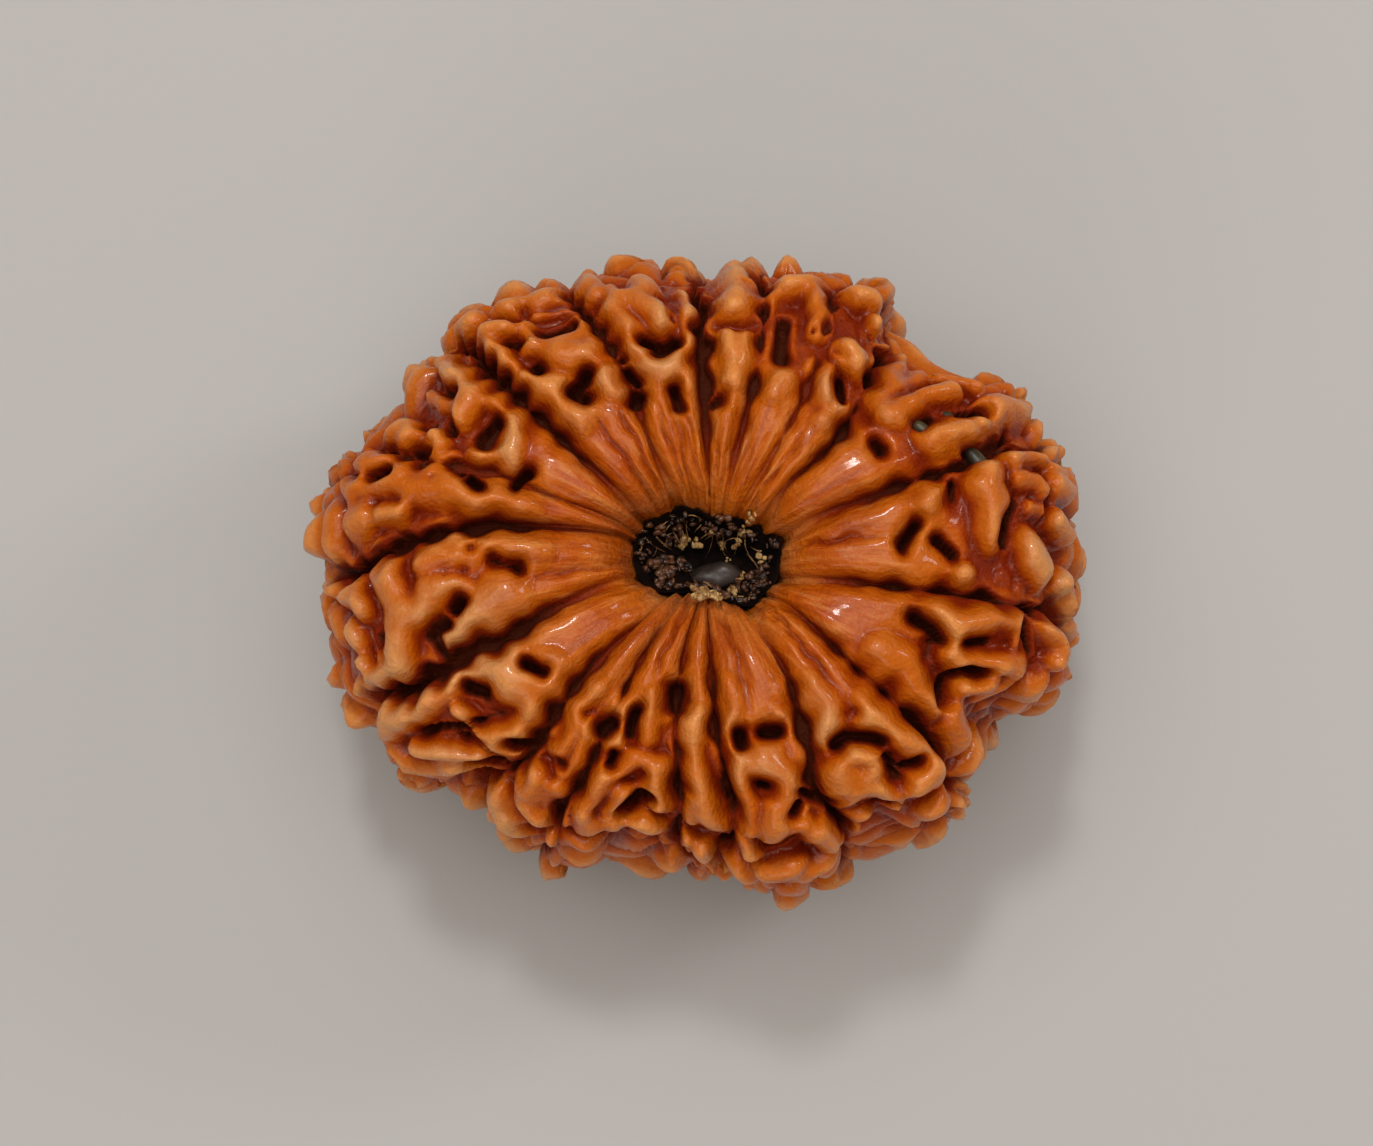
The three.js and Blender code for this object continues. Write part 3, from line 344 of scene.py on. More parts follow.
# A groove's bearing is listed above the belly, swings by two sine waves on the flank,
# and spreads evenly to the lower mouth
def grooveBearing(k, share):
    lap, i = divmod(k, len(grooves))
    phase = draw(i + 1) * 2 * math.pi
    flank = smoothStep(62, 80, share) * (1 - smoothStep(140, 165, share))
    waves = np.sin(share / 6.5 + phase) - np.sin(share / 3.7 + 2 * phase) / 3
    swing = grooveForm["wander"] * flank * waves
    even = 18 + i * 360 / len(grooves) + 4 * (draw(i + 40) - 0.5)
    upper = np.interp(share, grooveForm["shares"], grooves[i][0])
    return mixed(upper, even, smoothStep(105, grooveForm["lowerMouth"], share)) + swing + 360 * lap


def lobeWidth(k, share):  # mm between a groove and the next
    near, far = grooveBearing(k, share), grooveBearing(k + 1, share)
    middle = smoothBody((near + far) / 2, share)
    return np.radians(far - near) * np.hypot(middle[..., 0], middle[..., 1])


def lobeWidthGrid(k, share):  # the width of each column's lobe at each row
    widths = np.stack([lobeWidth(i, share[:, 0]) for i in range(len(grooves))], axis=1)
    return widths[:, k[0]]


def fillRule():  # rows of seeded pits down each lobe, below those listed
    filled = []
    for k in range(len(grooves)):
        seed = 100 * (k + 1)
        for share in range(fill["from"], fill["to"], fill["step"]):
            count = max(1, math.floor(lobeWidth(k, share) / fill["spacing"] + 0.5))
            for i in range(count):
                seed += 4
                t = (i + 0.5 + 0.5 * (draw(seed) - 0.5)) / count
                place = share + fill["step"] * (draw(seed + 1) - 0.5)
                bearing = mixed(grooveBearing(k, place), grooveBearing(k + 1, place), t)
                filled.append([fill["half"] * (0.6 + 0.8 * draw(seed + 2)), bearing, place])
    return filled


def trackDistance(row, points):  # from each point to the round-ended track through a row's places
    places = smoothBody(np.array(row[1::2], float), np.array(row[2::2], float))
    if len(places) == 1:
        return np.linalg.norm(points - places[0], axis=-1)
    best = np.full(points.shape[:-1], np.inf)
    for start, end in zip(places[:-1], places[1:]):
        way = end - start
        t = np.clip((points - start) @ way / (way @ way), 0, 1)
        best = np.minimum(best, np.linalg.norm(points - start - t[..., None] * way, axis=-1))
    return best


def grooveCarve(k, t, share, sway):  # depth cut by the two grooves that bound a lobe
    width = lobeWidthGrid(k, share)
    mirrored = folded(share)
    deep = np.interp(mirrored, grooveForm["depthShares"], grooveForm["depths"])
    narrow = grooveForm["floor"] * smoothStep(10, 34, mirrored)
    flankward = smoothStep(35, 58, mirrored)
    widest = mixed(grooveForm["shoulderMouth"], grooveForm["shoulderFlank"], flankward)
    cuts = []
    for side, distance in ((k, t * width), ((k + 1) % len(grooves), (1 - t) * width)):
        mouth, flank, depth = (np.array([g[i] for g in grooves])[side] for i in (1, 2, 3))
        half = np.minimum(mixed(mouth, flank, flankward) * narrow, 0.2 * width)
        shoulder = np.minimum(widest, 0.5 * width - half)
        inward = distance - half + grooveForm["wobble"] * sway * flankward
        cuts.append(np.minimum(deep, 0.9 * width) * depth * (1 - rounded(inward / shoulder)))
    return np.maximum(*cuts)


def furrowCarve(bearing, share, radius, sway):  # fine rounded furrows that fade out along the lobes
    start = furrowForm["start"]
    deepest = np.zeros(bearing.shape)
    for mouth, end, endShare in furrows:
        at = mouth + (end - mouth) * np.clip((share - start) / (endShare - start), 0, 1)
        turned = np.radians(np.mod(bearing - at + 180, 360) - 180)
        apart = np.abs(turned * radius + furrowForm["wander"] * sway)
        fade = smoothStep(start - 8, start + 6, share) * (1 - smoothStep(endShare - 3, endShare + 2, share))
        foot = (apart - furrowForm["half"]) / furrowForm["shoulder"]
        deepest = np.maximum(deepest, furrowForm["depth"] * fade * (1 - rounded(foot)))
    return deepest


def pitCarve(points):  # each listed place cut to its depth over a flat floor, with a rounded wall
    tracks = [(row, pitForm["pit"]) for row in pits + fillRule()]
    tracks += [(row, pitForm["hollow"]) for row in hollows]
    tracks += [(row, pitForm["notch"]) for row in notches]
    deepest = np.zeros(points.shape[:-1])
    for row, depth in tracks:
        wall = pitForm["wall"] + pitForm["wallPerHalf"] * row[0]
        foot = (trackDistance(row, points) - pitForm["floor"] * row[0]) / wall
        deepest = np.maximum(deepest, depth * (1 - rounded(foot)))
    return deepest


# Lumps and knobs joined as the blend-th root of the sum of their powers.
# A knob is its height times (1 - (distance / foot) squared) to its own power.
def raisedBy(points, share, skin):
    blend = seedForm["blend"]
    packed = np.where(share > 100, skin, smoothStep(*lumpForm["shares"], share))
    rise = (lumpForm["rise"] * packedLumps(points, lumpForm["size"], 2) * packed) ** blend
    rise += (lumpForm["smallRise"] * packedLumps(points, lumpForm["smallSize"], 5) * skin) ** blend
    for row in knobs:
        wide = knobForm["wide"] * row[0]
        within = np.clip(1 - (trackDistance(row, points) / wide) ** 2, 0, 1)
        tall = min(knobForm["steep"] * wide, knobForm["tall"])
        rise += (tall * within ** knobForm["power"] * mixed(knobForm["byMouth"], 1, skin)) ** blend
    return rise ** (1 / blend)


def seedGrid():  # each row's share, and each column's lobe and place across it
    turned = [grooveBearing(k + 1, 75) - grooveBearing(k, 75) for k in range(len(grooves))]
    counts = [round(w * seedForm["columns"] / 360) for w in turned]
    counts[0] += seedForm["columns"] - sum(counts)
    lobes = np.concatenate([np.full(n, i) for i, n in enumerate(counts)])
    even = np.concatenate([np.arange(n) / n for n in counts])
    across = even - seedForm["closer"] * np.sin(2 * math.pi * even) / (2 * math.pi)
    bands = zip([0] + [to for to, rows in rowBands[:-1]], rowBands)
    shares = np.concatenate([np.linspace(a, to, rows, endpoint=False) for a, (to, rows) in bands])
    return shares, lobes, across


def grainAt(bearing, mirrored):  # coordinates that change fast round the seed and slowly along a lobe
    angle = np.radians(bearing)
    return np.stack([np.cos(angle) * 14, np.sin(angle) * 14, mirrored * 0.12], axis=-1)


def seedSurface():  # each point of the smooth body moved by the relief there, then worn flat at the bottom
    shares, lobes, across = seedGrid()
    share = np.repeat(shares[:, None], len(lobes), axis=1)
    k = np.repeat(lobes[None], len(shares), axis=0)
    t = np.repeat(across[None], len(shares), axis=0)
    bearings = np.stack([grooveBearing(i, shares) for i in range(len(grooves) + 1)], axis=1)
    bearing = mixed(np.take_along_axis(bearings, k, 1), np.take_along_axis(bearings, k + 1, 1), t)
    base = smoothBody(bearing, share)

    x, y, z = np.moveaxis(base, -1, 0)
    pull = np.stack([latticeNoise(base, warpForm["size"], n) for n in (11, 23, 37)], axis=-1)
    finePull = np.stack([latticeNoise(base, warpForm["fineSize"], n) for n in (41, 53, 67)], axis=-1)
    pull += warpForm["fine"] * finePull
    warped = base + warpForm["far"] * pull
    sway = np.sin(3.1 * x + 1.3 * z) * np.sin(2.9 * y - 1.7 * z) + pull[..., 0]
    mirrored = folded(share)
    skin = smoothStep(*seedForm["skin"], mirrored)
    ribs = smoothStep(*seedForm["ribs"][:2], mirrored) * (1 - smoothStep(*seedForm["ribs"][2:], mirrored))

    carve = np.maximum(grooveCarve(k, t, share, sway), furrowCarve(bearing, share, np.hypot(x, y), sway))
    carve = np.maximum(carve, pitCarve(warped))
    wrinkles = lumpForm["streakRise"] * latticeNoise(grainAt(bearing, mirrored), 1.0, 9) * ribs
    relief = raisedBy(warped, share, skin) + wrinkles - seedForm["ground"] * skin
    relief = relief * np.clip(1 - carve / seedForm["fade"], 0, 1) - carve
    points = base + reliefWay(bearing, share) * relief[..., None]
    points[..., :2] += seedForm["canalAt"]
    points[..., 2] = np.maximum(points[..., 2], seedForm["flatCut"]) - seedForm["flatCut"]
    fields = {"bearing": bearing, "mirrored": mirrored, "carve": carve, "relief": relief, "ribs": ribs}
    return points, fields


def squares(index):  # the four corners of each square of a grid of vertex numbers
    corners = [index[:-1, :-1], index[1:, :-1], index[1:, 1:], index[:-1, 1:]]
    return np.stack(corners, axis=-1).reshape(-1, 4)


def facedMesh(name, vertices, *faceArrays):  # a piece from vertices in millimetres and arrays of faces
    mesh = bpy.data.meshes.new(name)
    faces = [face for array in faceArrays for face in array.tolist()]
    mesh.from_pydata(vertices * metresPerMm, [], faces)
    mesh.shade_smooth()
    mesh.update()
    piece = bpy.data.objects.new(name, mesh)
    scene.collection.objects.link(piece)
    return piece


def gridMesh(name, points, closed=True):  # a mesh of squares on a grid, joined round both ways if closed
    rows, columns = points.shape[:2]
    index = np.arange(rows * columns).reshape(rows, columns)
    if closed:
        index = np.concatenate([index, index[:1]])
        index = np.concatenate([index, index[:, :1]], axis=1)
    return facedMesh(name, points.reshape(-1, 3), squares(index))


def paintAttribute(piece, name, values):  # a number or a vector for each vertex, for the material
    kind, field = ("FLOAT_VECTOR", "vector") if values.shape[-1] == 3 else ("FLOAT", "value")
    layer = piece.data.attributes.new(name, kind, "POINT")
    layer.data.foreach_set(field, np.ascontiguousarray(values, dtype=np.float32).ravel())


class Wire:  # a node's output that can be used in sums
    def __init__(self, tree, socket=None):
        self.tree, self.socket = tree, socket

    def make(self, kind, settings=None, inputs=None, output=0):  # any node: its type, settings, inputs
        node = self.tree.nodes.new(kind)
        for name, value in (settings or {}).items():
            setattr(node, name, value)
        for name, value in (inputs or {}).items():
            if isinstance(value, Wire):
                self.tree.links.new(value.socket, node.inputs[name])
            else:
                node.inputs[name].default_value = value
        return Wire(self.tree, node.outputs[output])

    def math(self, operation, a, b=0.0):
        return self.make("ShaderNodeMath", {"operation": operation}, {0: a, 1: b})

    def __add__(self, other):
        return self.math("ADD", self, other)

    def __sub__(self, other):
        return self.math("SUBTRACT", self, other)

    def __rsub__(self, other):
        return self.math("SUBTRACT", other, self)

    def __mul__(self, other):
        return self.math("MULTIPLY", self, other)

    __radd__, __rmul__ = __add__, __mul__

    def step(self, low, high):  # 0 below low and 1 above high, eased between
        inputs = {"Value": self, "From Min": low, "From Max": high}
        return self.make("ShaderNodeMapRange", {"interpolation_type": "SMOOTHSTEP"}, inputs)

    def blend(self, colourA, colourB):  # colour A where this is 0, colour B where it is 1
        a, b = (c if isinstance(c, Wire) else (*c, 1) for c in (colourA, colourB))
        return self.make("ShaderNodeMix", {"data_type": "RGBA"}, {0: self, 6: a, 7: b}, 2)

    def attribute(self, name, output="Fac"):
        return self.make("ShaderNodeAttribute", {"attribute_name": name}, output=output)

    def noise(self, place, scale, detail, roughness=0.5):
        inputs = {"Vector": place, "Scale": scale, "Detail": detail, "Roughness": roughness}
        return self.make("ShaderNodeTexNoise", None, inputs)

    def plug(self, shader, socket):
        self.tree.links.new(self.socket, shader.inputs[socket])


def newMaterial(name):  # a material's first wire and its surface shader
    material = bpy.data.materials.new(name)
    material.use_nodes = True
    tree = material.node_tree
    return material, Wire(tree), tree.nodes["Principled BSDF"]


def finishPiece(piece, material):
    piece.data.materials.append(material)
    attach(piece, "root")


seedFinish = {
    "tan": (0.5, 0.24, 0.09), "pale": (0.56, 0.21, 0.05), "gold": (0.43, 0.094, 0.003),
    # red: the seed's own red in patches and streaks, and painted shade in low places and hollows; dark:
    # painted shade in the deepest hollows
    "body": (0.34, 0.048, 0.0007), "red": (0.17, 0.012, 0.001), "dark": (0.055, 0.006, 0.001),
    # The canal wall's colour: near-black painted shade for the canal's dark depth
    "canalShade": (0.008, 0.004, 0.002),
    "broad": 140.0, "patches": 330.0, "mottle": 1300.0, "pores": 4200.0,  # how fine each noise is, a metre
    "bump": 0.8, "bumpDistance": 0.0003, "coat": 0.28, "coatRoughness": 0.1,
    "specular": 0.16, "specularTint": (1, 0.7, 0.5, 1),
    "glow": 0.3, "glowRadius": (1.0, 0.3, 0.08), "glowScale": 0.0008,  # light passing under the skin
}


# Colours by height over the neighbours: gold and pale on the tops, body between; red and dark painted shade
# in low places and carved hollows, near-black painted shade on the canal wall, with tan and red patches and
# streaks along the ribs, and pale streaks there as painted highlights
def seedMaterial():
    material, wire, shader = newMaterial("seedStone")
    finish = seedFinish
    level, hollow, inner, lip, collar = (
        wire.attribute(name) for name in ("level", "hollow", "inner", "lip", "collar"))
    place = wire.make("ShaderNodeTexCoord", output="Object")
    broad = wire.noise(place, finish["broad"], 2.0)
    patches = wire.noise(place, finish["patches"], 3.0)
    mottle = wire.noise(place, finish["mottle"], 4.0)
    pores = wire.noise(place, finish["pores"], 2.0)
    streaks = wire.noise(wire.attribute("grain", "Vector"), 1.0, 3.0, 0.6)

    height = level + 0.3 * patches + 0.16 * mottle - 0.23 + 0.06 * lip + 0.2 * collar
    tanTops = height.step(0.6, 0.95) * broad.step(0.5, 0.66) * (0.65 - 0.4 * lip)
    tanCollar = collar * patches.step(0.42, 0.62) * 0.3
    redPatches = lip * (1 - broad.step(0.36, 0.52)) * 0.4
    redStreaks = lip * (1 - streaks.step(0.3, 0.52)) * 0.45
    canalward = inner + 0.6 * mottle - 0.3 + 0.8 * hollow * inner.step(0.0, 0.2)
    colour = height.step(0.46, 0.7).blend(finish["body"], finish["gold"])
    colour = (height - 0.12 * lip).step(0.7, 1.0).blend(colour, finish["pale"])
    colour = tanTops.blend(colour, finish["tan"])
    colour = tanCollar.blend(colour, finish["tan"])
    # Painted highlights: pale streaks along the ribs by the mouth
    colour = (lip * streaks.step(0.5, 0.7) * 0.5).blend(colour, finish["pale"])
    colour = redPatches.blend(colour, finish["red"])
    colour = redStreaks.blend(colour, finish["red"])
    # Painted shade: places lower than their neighbours, then carved pits and grooves, turn red, and the
    # lowest and deepest dark
    colour = (1 - height.step(0.3, 0.6)).blend(colour, finish["red"])
    colour = hollow.step(0.18, 0.5).blend(colour, finish["red"])
    colour = (hollow + 0.5 - height).step(0.5, 1.05).blend(colour, finish["dark"])
    # Painted shade: the canal wall and the grooves by it go near black
    colour = canalward.step(0.4, 0.6).blend(colour, finish["canalShade"])
    colour.plug(shader, "Base Color")

    roughness = 0.2 + 0.2 * mottle + 0.4 * hollow.step(0.2, 0.6) + 0.3 * inner
    roughness.plug(shader, "Roughness")
    (finish["coat"] - finish["coat"] * hollow.step(0.02, 0.25)).plug(shader, "Coat Weight")
    relief = 0.6 * mottle + 0.4 * patches + 0.35 * pores + 0.8 * lip * streaks
    bump = {"Strength": finish["bump"], "Distance": finish["bumpDistance"], "Height": relief}
    wire.make("ShaderNodeBump", None, bump).plug(shader, "Normal")
    shader.inputs["Subsurface Weight"].default_value = finish["glow"]
    shader.inputs["Subsurface Radius"].default_value = finish["glowRadius"]
    shader.inputs["Subsurface Scale"].default_value = finish["glowScale"]
    shader.inputs["Specular IOR Level"].default_value = finish["specular"]
    shader.inputs["Specular Tint"].default_value = finish["specularTint"]
    shader.inputs["Coat Roughness"].default_value = finish["coatRoughness"]
    return material


def blurred(values, acrossRounds, alongRounds):  # a grid's values averaged with their neighbours
    for axis, rounds in ((1, acrossRounds), (0, alongRounds)):
        for _ in range(rounds):
            values = (values * 2 + np.roll(values, 1, axis) + np.roll(values, -1, axis)) / 4
    return values


def makeSeed():  # the surface, with what its material reads: height over its neighbours, depth and place
    points, fields = seedSurface()
    seed = gridMesh("seedSurface", points)
    relief, mirrored = fields["relief"], fields["mirrored"]
    broad = relief - blurred(relief, 60, 240)
    near = relief - blurred(relief, 8, 24)
    collar = smoothStep(20, 25, mirrored) * (1 - smoothStep(28, 40, mirrored))
    # level, the height over the neighbours, drives painted shade: the material turns low places red and
    # dark
    paintAttribute(seed, "level", np.clip(0.5 + 0.32 * broad + 0.35 * near, 0, 1))
    # hollow, the carved depth, also drives painted shade in the pits and grooves
    paintAttribute(seed, "hollow", np.clip(fields["carve"] / pitForm["pit"], 0, 1))
    paintAttribute(seed, "lip", fields["ribs"])
    paintAttribute(seed, "inner", 1 - smoothStep(15, 23, mirrored))
    paintAttribute(seed, "collar", collar)
    paintAttribute(seed, "grain", grainAt(fields["bearing"], mirrored))
    seed.data.materials.append(seedMaterial())
    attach(seed, "root")
    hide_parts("seed")
    print("seed surface:", len(seed.data.polygons) * 2, "triangles")


makeSeed()


def addPoles(points, top, bottom):  # vertices and faces of a tube grid closed by a point at each end
    rows, columns = points.shape[:2]
    index = np.arange(rows * columns).reshape(rows, columns)
    index = np.concatenate([index, index[:, :1]], axis=1)
    last = rows * columns
    first = np.stack([np.full(columns, last), index[0, :-1], index[0, 1:]], axis=-1)
    end = np.stack([np.full(columns, last + 1), index[-1, 1:], index[-1, :-1]], axis=-1)
    vertices = np.concatenate([points.reshape(-1, 3), [top], [bottom]])
    return vertices, squares(index), np.concatenate([first, end])


def joinedPiece(name, parts, material):  # one mesh of parts that are each vertices, sides and caps
    vertices, sides, caps = zip(*parts)
    starts = np.cumsum([0] + [len(v) for v in vertices[:-1]])
    vertices = np.concatenate(vertices)
    vertices[:, :2] += seedForm["canalAt"]
    sides = np.concatenate([s + start for s, start in zip(sides, starts)])
    caps = np.concatenate([c + start for c, start in zip(caps, starts)])
    finishPiece(facedMesh(name, vertices, sides, caps), material)


# Two colours mixed by noise, with crumbly bump
def pithMaterial(name, dark, light, scale, roughness, gloss):
    material, wire, shader = newMaterial(name)
    noise = wire.noise(wire.make("ShaderNodeTexCoord", output="Object"), scale, 4.0)
    noise.step(0.35, 0.65).blend(dark, light).plug(shader, "Base Color")
    bump = {"Strength": 0.8, "Distance": 0.0001, "Height": noise}
    wire.make("ShaderNodeBump", None, bump).plug(shader, "Normal")
    shader.inputs["Roughness"].default_value = roughness
    shader.inputs["Specular IOR Level"].default_value = gloss
    return material


# Olive grains left in some of the pits.
# Each place: half length, half width, depth under the smooth body, then bearing and share
grainForm = {
    "places": [[0.5, 0.33, 1.9, 32, 58], [0.5, 0.3, 1.9, 30, 64.5], [0.8, 0.42, 1.9, 21.2, 63.5],
               [0.5, 0.33, 1.9, 5.3, 63]],
    "rows": 14, "columns": 22, "waist": 0.12,
}


def pitGrains():  # smooth ovals with a slight waist, lying along the pits
    polar = np.linspace(0, math.pi, grainForm["rows"] + 2)[1:-1, None]
    turn = np.linspace(0, 2 * math.pi, grainForm["columns"], endpoint=False)[None]
    thin = np.sin(polar) * (1 - grainForm["waist"] * np.sin(polar) ** 4)
    oval = np.stack([np.cos(polar) + 0 * turn, thin * np.cos(turn), thin * np.sin(turn)], axis=-1)[::-1]
    vertices, sides, caps = addPoles(oval, (-1, 0, 0), (1, 0, 0))
    parts = []
    for long, wide, depth, *place in grainForm["places"]:
        bearing, share = np.array(place, float)[:, None]
        out = outward(bearing, share)[0]
        around = np.cross([0, 0, 1.0], out)
        around /= np.linalg.norm(around)
        axes = np.stack([around, np.cross(out, around), out])
        at = smoothBody(bearing, share)[0] - out * depth
        parts.append((vertices * [long, wide, wide] @ axes + at, sides, caps))
    olive = pithMaterial("oliveGrain", (0.012, 0.008, 0.003), (0.06, 0.045, 0.018), 900.0, 0.4, 0.4)
    joinedPiece("pitGrains", parts, olive)


pitGrains()

# Dried pith left in the canal's upper mouth, near black as painted shade for the canal's dark depth. Places
# are from the canal axis.
plugForm = {"middle": 16.8, "rim": 19.3, "bottom": 11.0,  # heights
            "wider": 0.4, "lumps": 0.35, "rings": 26, "columns": 90}


def pithTop(x, y):  # height of the pith: a bowl from its middle up to its rim, with lumps
    share = np.hypot(x, y) / (canalRadius(np.arctan2(y, x)) + plugForm["wider"])
    place = np.stack([x, y, 0 * x], axis=-1)
    lumps = latticeNoise(place, 0.75, 5) + 0.5 * latticeNoise(place, 0.35, 8)
    bowl = (plugForm["rim"] - plugForm["middle"]) * share ** 2
    return plugForm["middle"] + bowl + plugForm["lumps"] * lumps


def canalPlug():  # rings out from the bowl's middle to the canal wall, then down and in again to a point
    angle = np.linspace(0, 2 * math.pi, plugForm["columns"], endpoint=False)[None]
    out = np.linspace(0.04, 1, plugForm["rings"])[:, None]
    radius = out * (canalRadius(angle) + plugForm["wider"])
    x, y = radius * np.cos(angle), radius * np.sin(angle)
    bowl = np.stack([x, y, pithTop(x, y)], axis=-1)
    under = bowl[::-3].copy()
    fall = np.linspace(0, 1, len(under))[:, None]
    under[..., 2] = mixed(bowl[-1:, :, 2], plugForm["bottom"], fall) - 0.3
    top = (0, 0, pithTop(np.zeros(1), np.zeros(1))[0])
    part = addPoles(np.concatenate([bowl, under]), top, (0, 0, plugForm["bottom"] - 0.6))
    # near-black pith: painted shade for the canal's depth
    dark = pithMaterial("darkPith", (0.0015, 0.0008, 0.0006), (0.007, 0.003, 0.002), 1100.0, 0.9, 0.05)
    joinedPiece("canalPlug", [part], dark)


canalPlug()

# Each heap: x and y of its middle, how far it spreads, how many crumbs, their mean radius,
# and how high they lie above the pith
crumbForm = {
    "golden": [(-1.11, 1.05, 0.2, 8, 0.17, 0), (-0.49, 1.05, 0.16, 6, 0.14, 0),
               (0.18, 1.5, 0.1, 3, 0.13, 0), (0.58, 0.95, 0.16, 5, 0.12, 0),
               (2.44, 0.2, 0.18, 4, 0.13, 0), (0.93, -1.35, 0.25, 6, 0.13, 0.2),
               (1.42, -0.45, 0.22, 6, 0.13, 0), (1.9, 1.85, 0.16, 6, 0.11, 0.3),
               (1.65, 1.45, 0.2, 7, 0.11, 0), (1.35, 0.95, 0.2, 7, 0.1, 0),
               (0.9, 0.3, 0.12, 3, 0.09, 0)],
    "lip": [(-0.45, -1.55, 0.34, 26, 0.13, 0.5), (0.05, -1.6, 0.3, 18, 0.12, 0.45),
            (0.35, -1.75, 0.2, 8, 0.1, 0.6)],
    "brown": [(-1.99, -0.05, 0.4, 22, 0.17, 0), (-1.1, 0.1, 0.3, 12, 0.16, 0),
              (2.1, -0.75, 0.42, 20, 0.18, 0), (-1.9, -0.8, 0.35, 14, 0.15, 0),
              (1.3, -1.1, 0.35, 12, 0.14, 0), (-1.6, 1.1, 0.35, 12, 0.14, 0),
              (0.6, 1.6, 0.5, 10, 0.13, 0)],
    "pebble": [(0.31, -0.4, 0.0, 1, 0.95, 0.1)],
    "rows": 6, "columns": 9,
}
rimForm = {"crumbs": 120, "size": 0.12, "spread": 0.05, "above": 0.25}  # crumbs along the canal wall
fibreForm = {"count": 40, "length": 0.8, "thick": 0.03, "steps": 9, "sides": 5,
             "turned": 2.6, "bowed": 1.6, "above": 0.1, "arched": 0.35}


def rimHeaps():  # single crumbs spread round the canal wall by seeded draws
    number = np.arange(rimForm["crumbs"])
    angle = 2 * math.pi * draw(5000 + number)
    radius = canalRadius(angle) * (0.84 + 0.24 * draw(6000 + number))
    size = rimForm["size"] * (0.6 + 0.9 * draw(7000 + number))
    above = rimForm["above"] * draw(8000 + number)
    spread, single = np.full(len(number), rimForm["spread"]), np.ones(len(number), int)
    return list(zip(radius * np.cos(angle), radius * np.sin(angle), spread, single, size, above))


def crumbHeaps(name, heaps, material, seedStart):  # lumpy balls scattered in heaps on the pith
    polar = np.linspace(0, math.pi, crumbForm["rows"] + 2)[1:-1, None]
    turn = np.linspace(0, 2 * math.pi, crumbForm["columns"], endpoint=False)[None]
    ball = [np.sin(polar) * np.cos(turn), np.sin(polar) * np.sin(turn), np.cos(polar) + 0 * turn]
    unit, sides, caps = addPoles(np.stack(ball, axis=-1), (0, 0, 1), (0, 0, -1))
    parts = []
    for x, y, spread, number, size, above in heaps:
        for _ in range(number):
            seedNumber = seedStart + 7 * len(parts)
            shift = (draw(seedNumber + np.arange(2)) - 0.5) * 2 * spread
            at = np.array([x + shift[0], y + shift[1], 0])
            stretch = size * (0.5 + 1.0 * draw(seedNumber + 3 + np.arange(3)))
            at[2] = pithTop(at[:1], at[1:2])[0] + 0.4 * stretch[2] + above
            lumpy = unit * (1 + 0.55 * latticeNoise(unit + seedNumber, 0.7, 1))[:, None]
            parts.append((lumpy * stretch + at, sides, caps))
    joinedPiece(name, parts, material)


def fibreTangle(material):  # thin tubes, each along a parabola from the wall in over the pith
    number = np.arange(fibreForm["count"])
    turned = 2 * math.pi * draw(9000 + number)
    reach = canalRadius(turned) * (0.8 + 0.25 * draw(9100 + number))
    start = np.stack([reach * np.cos(turned), reach * np.sin(turned)], axis=-1)
    heading = turned + math.pi + fibreForm["turned"] * (draw(9200 + number) - 0.5)
    length = fibreForm["length"] * (0.4 + 0.9 * draw(9300 + number))
    t = np.linspace(0, 1, fibreForm["steps"])[None, :, None]
    way = np.stack([np.cos(heading), np.sin(heading)], axis=-1)[:, None] * length[:, None, None]
    aside = np.stack([-way[..., 1], way[..., 0]], axis=-1) * (draw(9400 + number)[:, None, None] - 0.5)
    flat = start[:, None] + way * t + aside * t * t * fibreForm["bowed"]
    arch = fibreForm["arched"] * draw(9500 + number)[:, None] * np.sin(math.pi * t[..., 0])
    z = pithTop(flat[..., 0], flat[..., 1]) + fibreForm["above"] + arch
    spine = np.concatenate([flat, z[..., None]], axis=-1)
    side = np.stack([-np.sin(heading), np.cos(heading), 0 * heading], axis=-1)[:, None, None]
    around = np.linspace(0, 2 * math.pi, fibreForm["sides"], endpoint=False)[None, None, :, None]
    thick = fibreForm["thick"] * (0.5 + draw(9600 + number))
    thick = thick[:, None, None, None] * (1 - 0.8 * t[..., None] ** 2)
    tubes = spine[:, :, None] + thick * (np.cos(around) * side + np.sin(around) * np.array([0, 0, 1.0]))
    parts = [addPoles(tube, line[0], line[-1]) for tube, line in zip(tubes, spine)]
    joinedPiece("pithFibres", parts, material)


goldenPith = pithMaterial("goldenPith", (0.16, 0.065, 0.015), (0.48, 0.3, 0.11), 1900.0, 0.5, 0.4)
brownPith = pithMaterial("brownPith", (0.008, 0.003, 0.0015), (0.1, 0.035, 0.012), 1900.0, 0.4, 0.5)
greyPith = pithMaterial("greyPith", (0.01, 0.007, 0.006), (0.05, 0.034, 0.028), 900.0, 0.4, 0.35)
fibrePith = pithMaterial("fibrePith", (0.05, 0.02, 0.006), (0.35, 0.18, 0.06), 1500.0, 0.4, 0.5)
crumbHeaps("goldenCrumbs", crumbForm["golden"], goldenPith, 900)
crumbHeaps("lipCrumbs", crumbForm["lip"], goldenPith, 1700)
crumbHeaps("brownCrumbs", crumbForm["brown"] + rimHeaps(), brownPith, 2500)
crumbHeaps("darkPebble", crumbForm["pebble"], greyPith, 3305)
fibreTangle(fibrePith)
print("pith in the canal's mouth")

# The surface it lies on, the light and the camera
stageForm = {"floorHalf": 600.0, "floorColour": (0.372, 0.364, 0.353), "floorRoughness": 0.65}


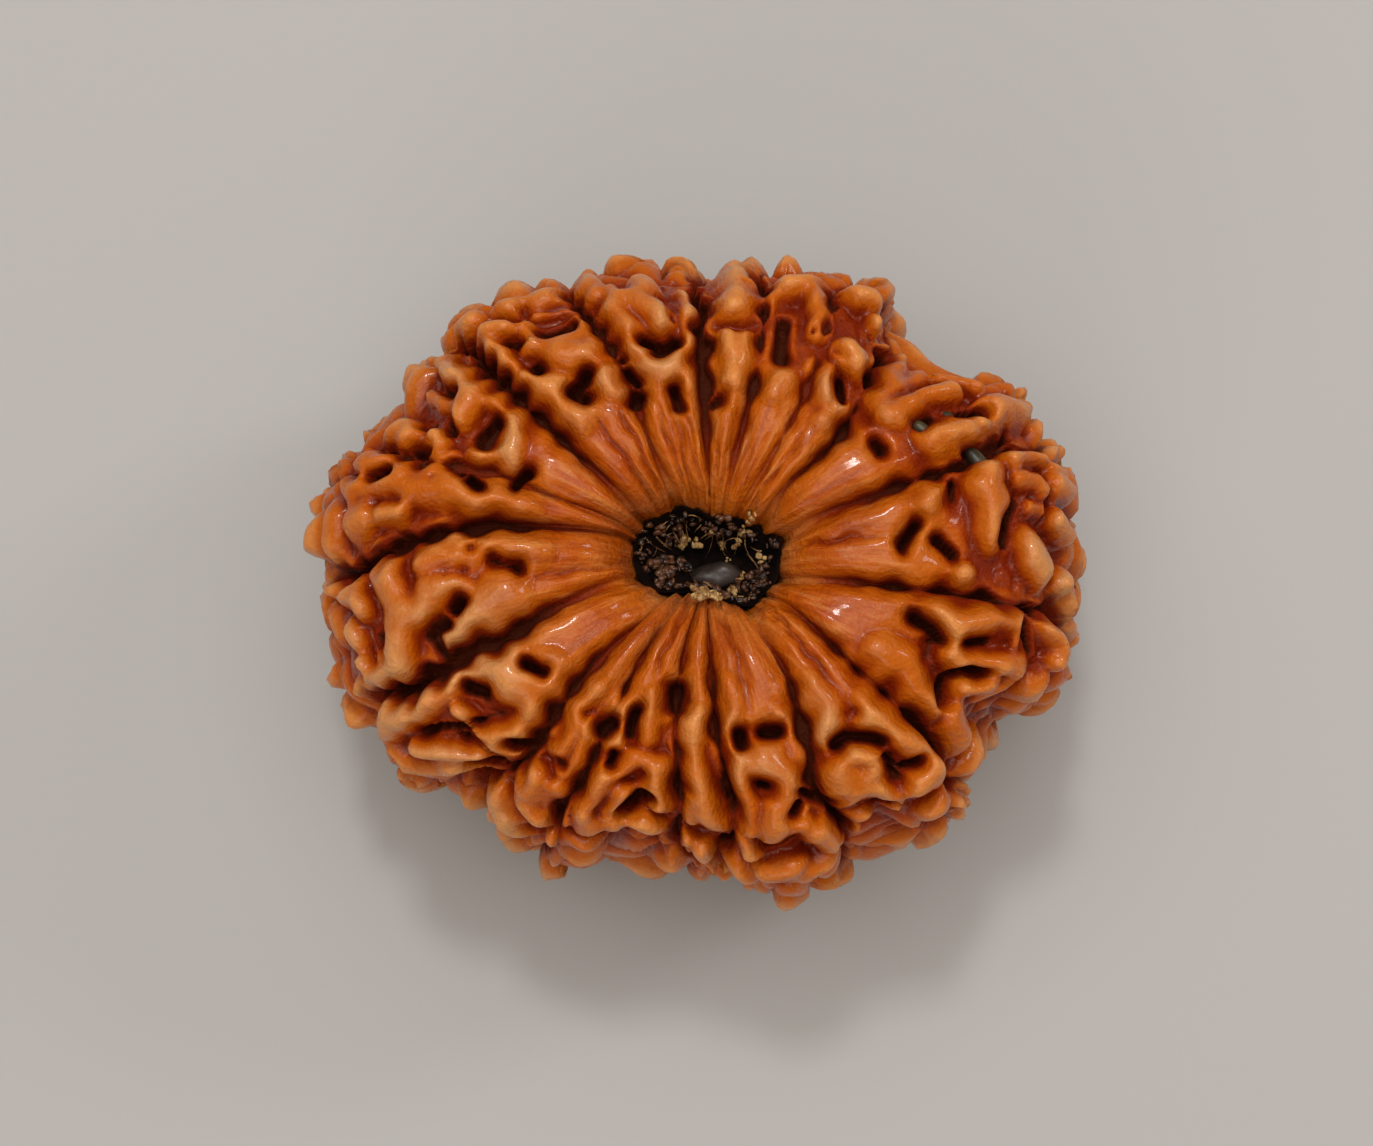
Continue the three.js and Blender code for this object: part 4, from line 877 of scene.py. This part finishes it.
def makeFloor():  # a flat square round the origin
    side = np.linspace(-stageForm["floorHalf"], stageForm["floorHalf"], 3)
    x, y = np.meshgrid(side, side, indexing="ij")
    floor = gridMesh("paleFloor", np.stack([x, y, 0 * x], axis=-1)[::-1], False)
    material, _, shader = newMaterial("paleFloor")
    shader.inputs["Base Color"].default_value = (*stageForm["floorColour"], 1)
    shader.inputs["Roughness"].default_value = stageForm["floorRoughness"]
    floor.data.materials.append(material)


makeFloor()

lightForm = {
    "main": {"at": (-30, 200, 520), "size": 60, "watts": 0.85, "colour": (1, 1, 1)},
    "roof": {"at": (-40, 70, 620), "size": 600, "watts": 2.5, "colour": (0.98, 0.99, 1)},
    "side": {"at": (330, 150, 300), "size": 90, "watts": 0.35, "colour": (1, 0.96, 0.95)},
    "front": {"at": (-150, -420, 300), "size": 300, "watts": 0.5, "colour": (1, 0.97, 0.93)},
}
roomLight = {"strength": 0.36, "colour": (1, 0.82, 0.64)}


def softLight(name, at, size, watts, colour):  # a square light that faces the seed
    data = bpy.data.lights.new(name, "AREA")
    data.energy, data.size, data.color = watts, size * metresPerMm, colour
    light = bpy.data.objects.new(name, data)
    light.location = [v * metresPerMm for v in at]
    direction = np.array([0, 0, 10.0]) - np.array(at)
    light.rotation_euler = (math.acos(-direction[2] / np.linalg.norm(direction)), 0,
                            math.atan2(direction[1], direction[0]) - math.pi / 2)
    scene.collection.objects.link(light)


def lightRoom():  # the soft lights and a warm, even room
    for name, form in lightForm.items():
        softLight(name, **form)
    scene.world = bpy.data.worlds.new("room")
    scene.world.use_nodes = True
    background = scene.world.node_tree.nodes["Background"]
    background.inputs["Color"].default_value = (*roomLight["colour"], 1)
    background.inputs["Strength"].default_value = roomLight["strength"]
    scene.view_settings.view_transform = "Standard"


lightRoom()

view = {
    "distance": 200.0, "elevation": 84.0, "frameWidth": 63.37, "sensor": 36.0,
    "middle": (0.5, -0.1, 11.15),  # the point of the seed that the view is measured from
    "right": -0.992, "up": 0.323,  # how far the frame's middle is from it
}


def makeCamera():  # looks along the elevation at the frame's middle, from the distance
    tilt = math.radians(view["elevation"])
    back = np.array([0, -math.cos(tilt), math.sin(tilt)])
    upward = np.array([0, math.sin(tilt), math.cos(tilt)])
    aside = np.array([view["right"], 0, 0])
    at = np.array(view["middle"]) + back * view["distance"] + upward * view["up"] + aside
    data = bpy.data.cameras.new("camera")
    data.sensor_width = view["sensor"]
    data.lens = view["sensor"] * view["distance"] / view["frameWidth"]
    data.clip_start = 0.01
    camera = bpy.data.objects.new("camera", data)
    camera.location = at * metresPerMm
    camera.rotation_euler = (math.radians(90 - view["elevation"]), 0, 0)
    scene.collection.objects.link(camera)
    scene.camera = camera


makeCamera()
print("stage, light and camera ready")
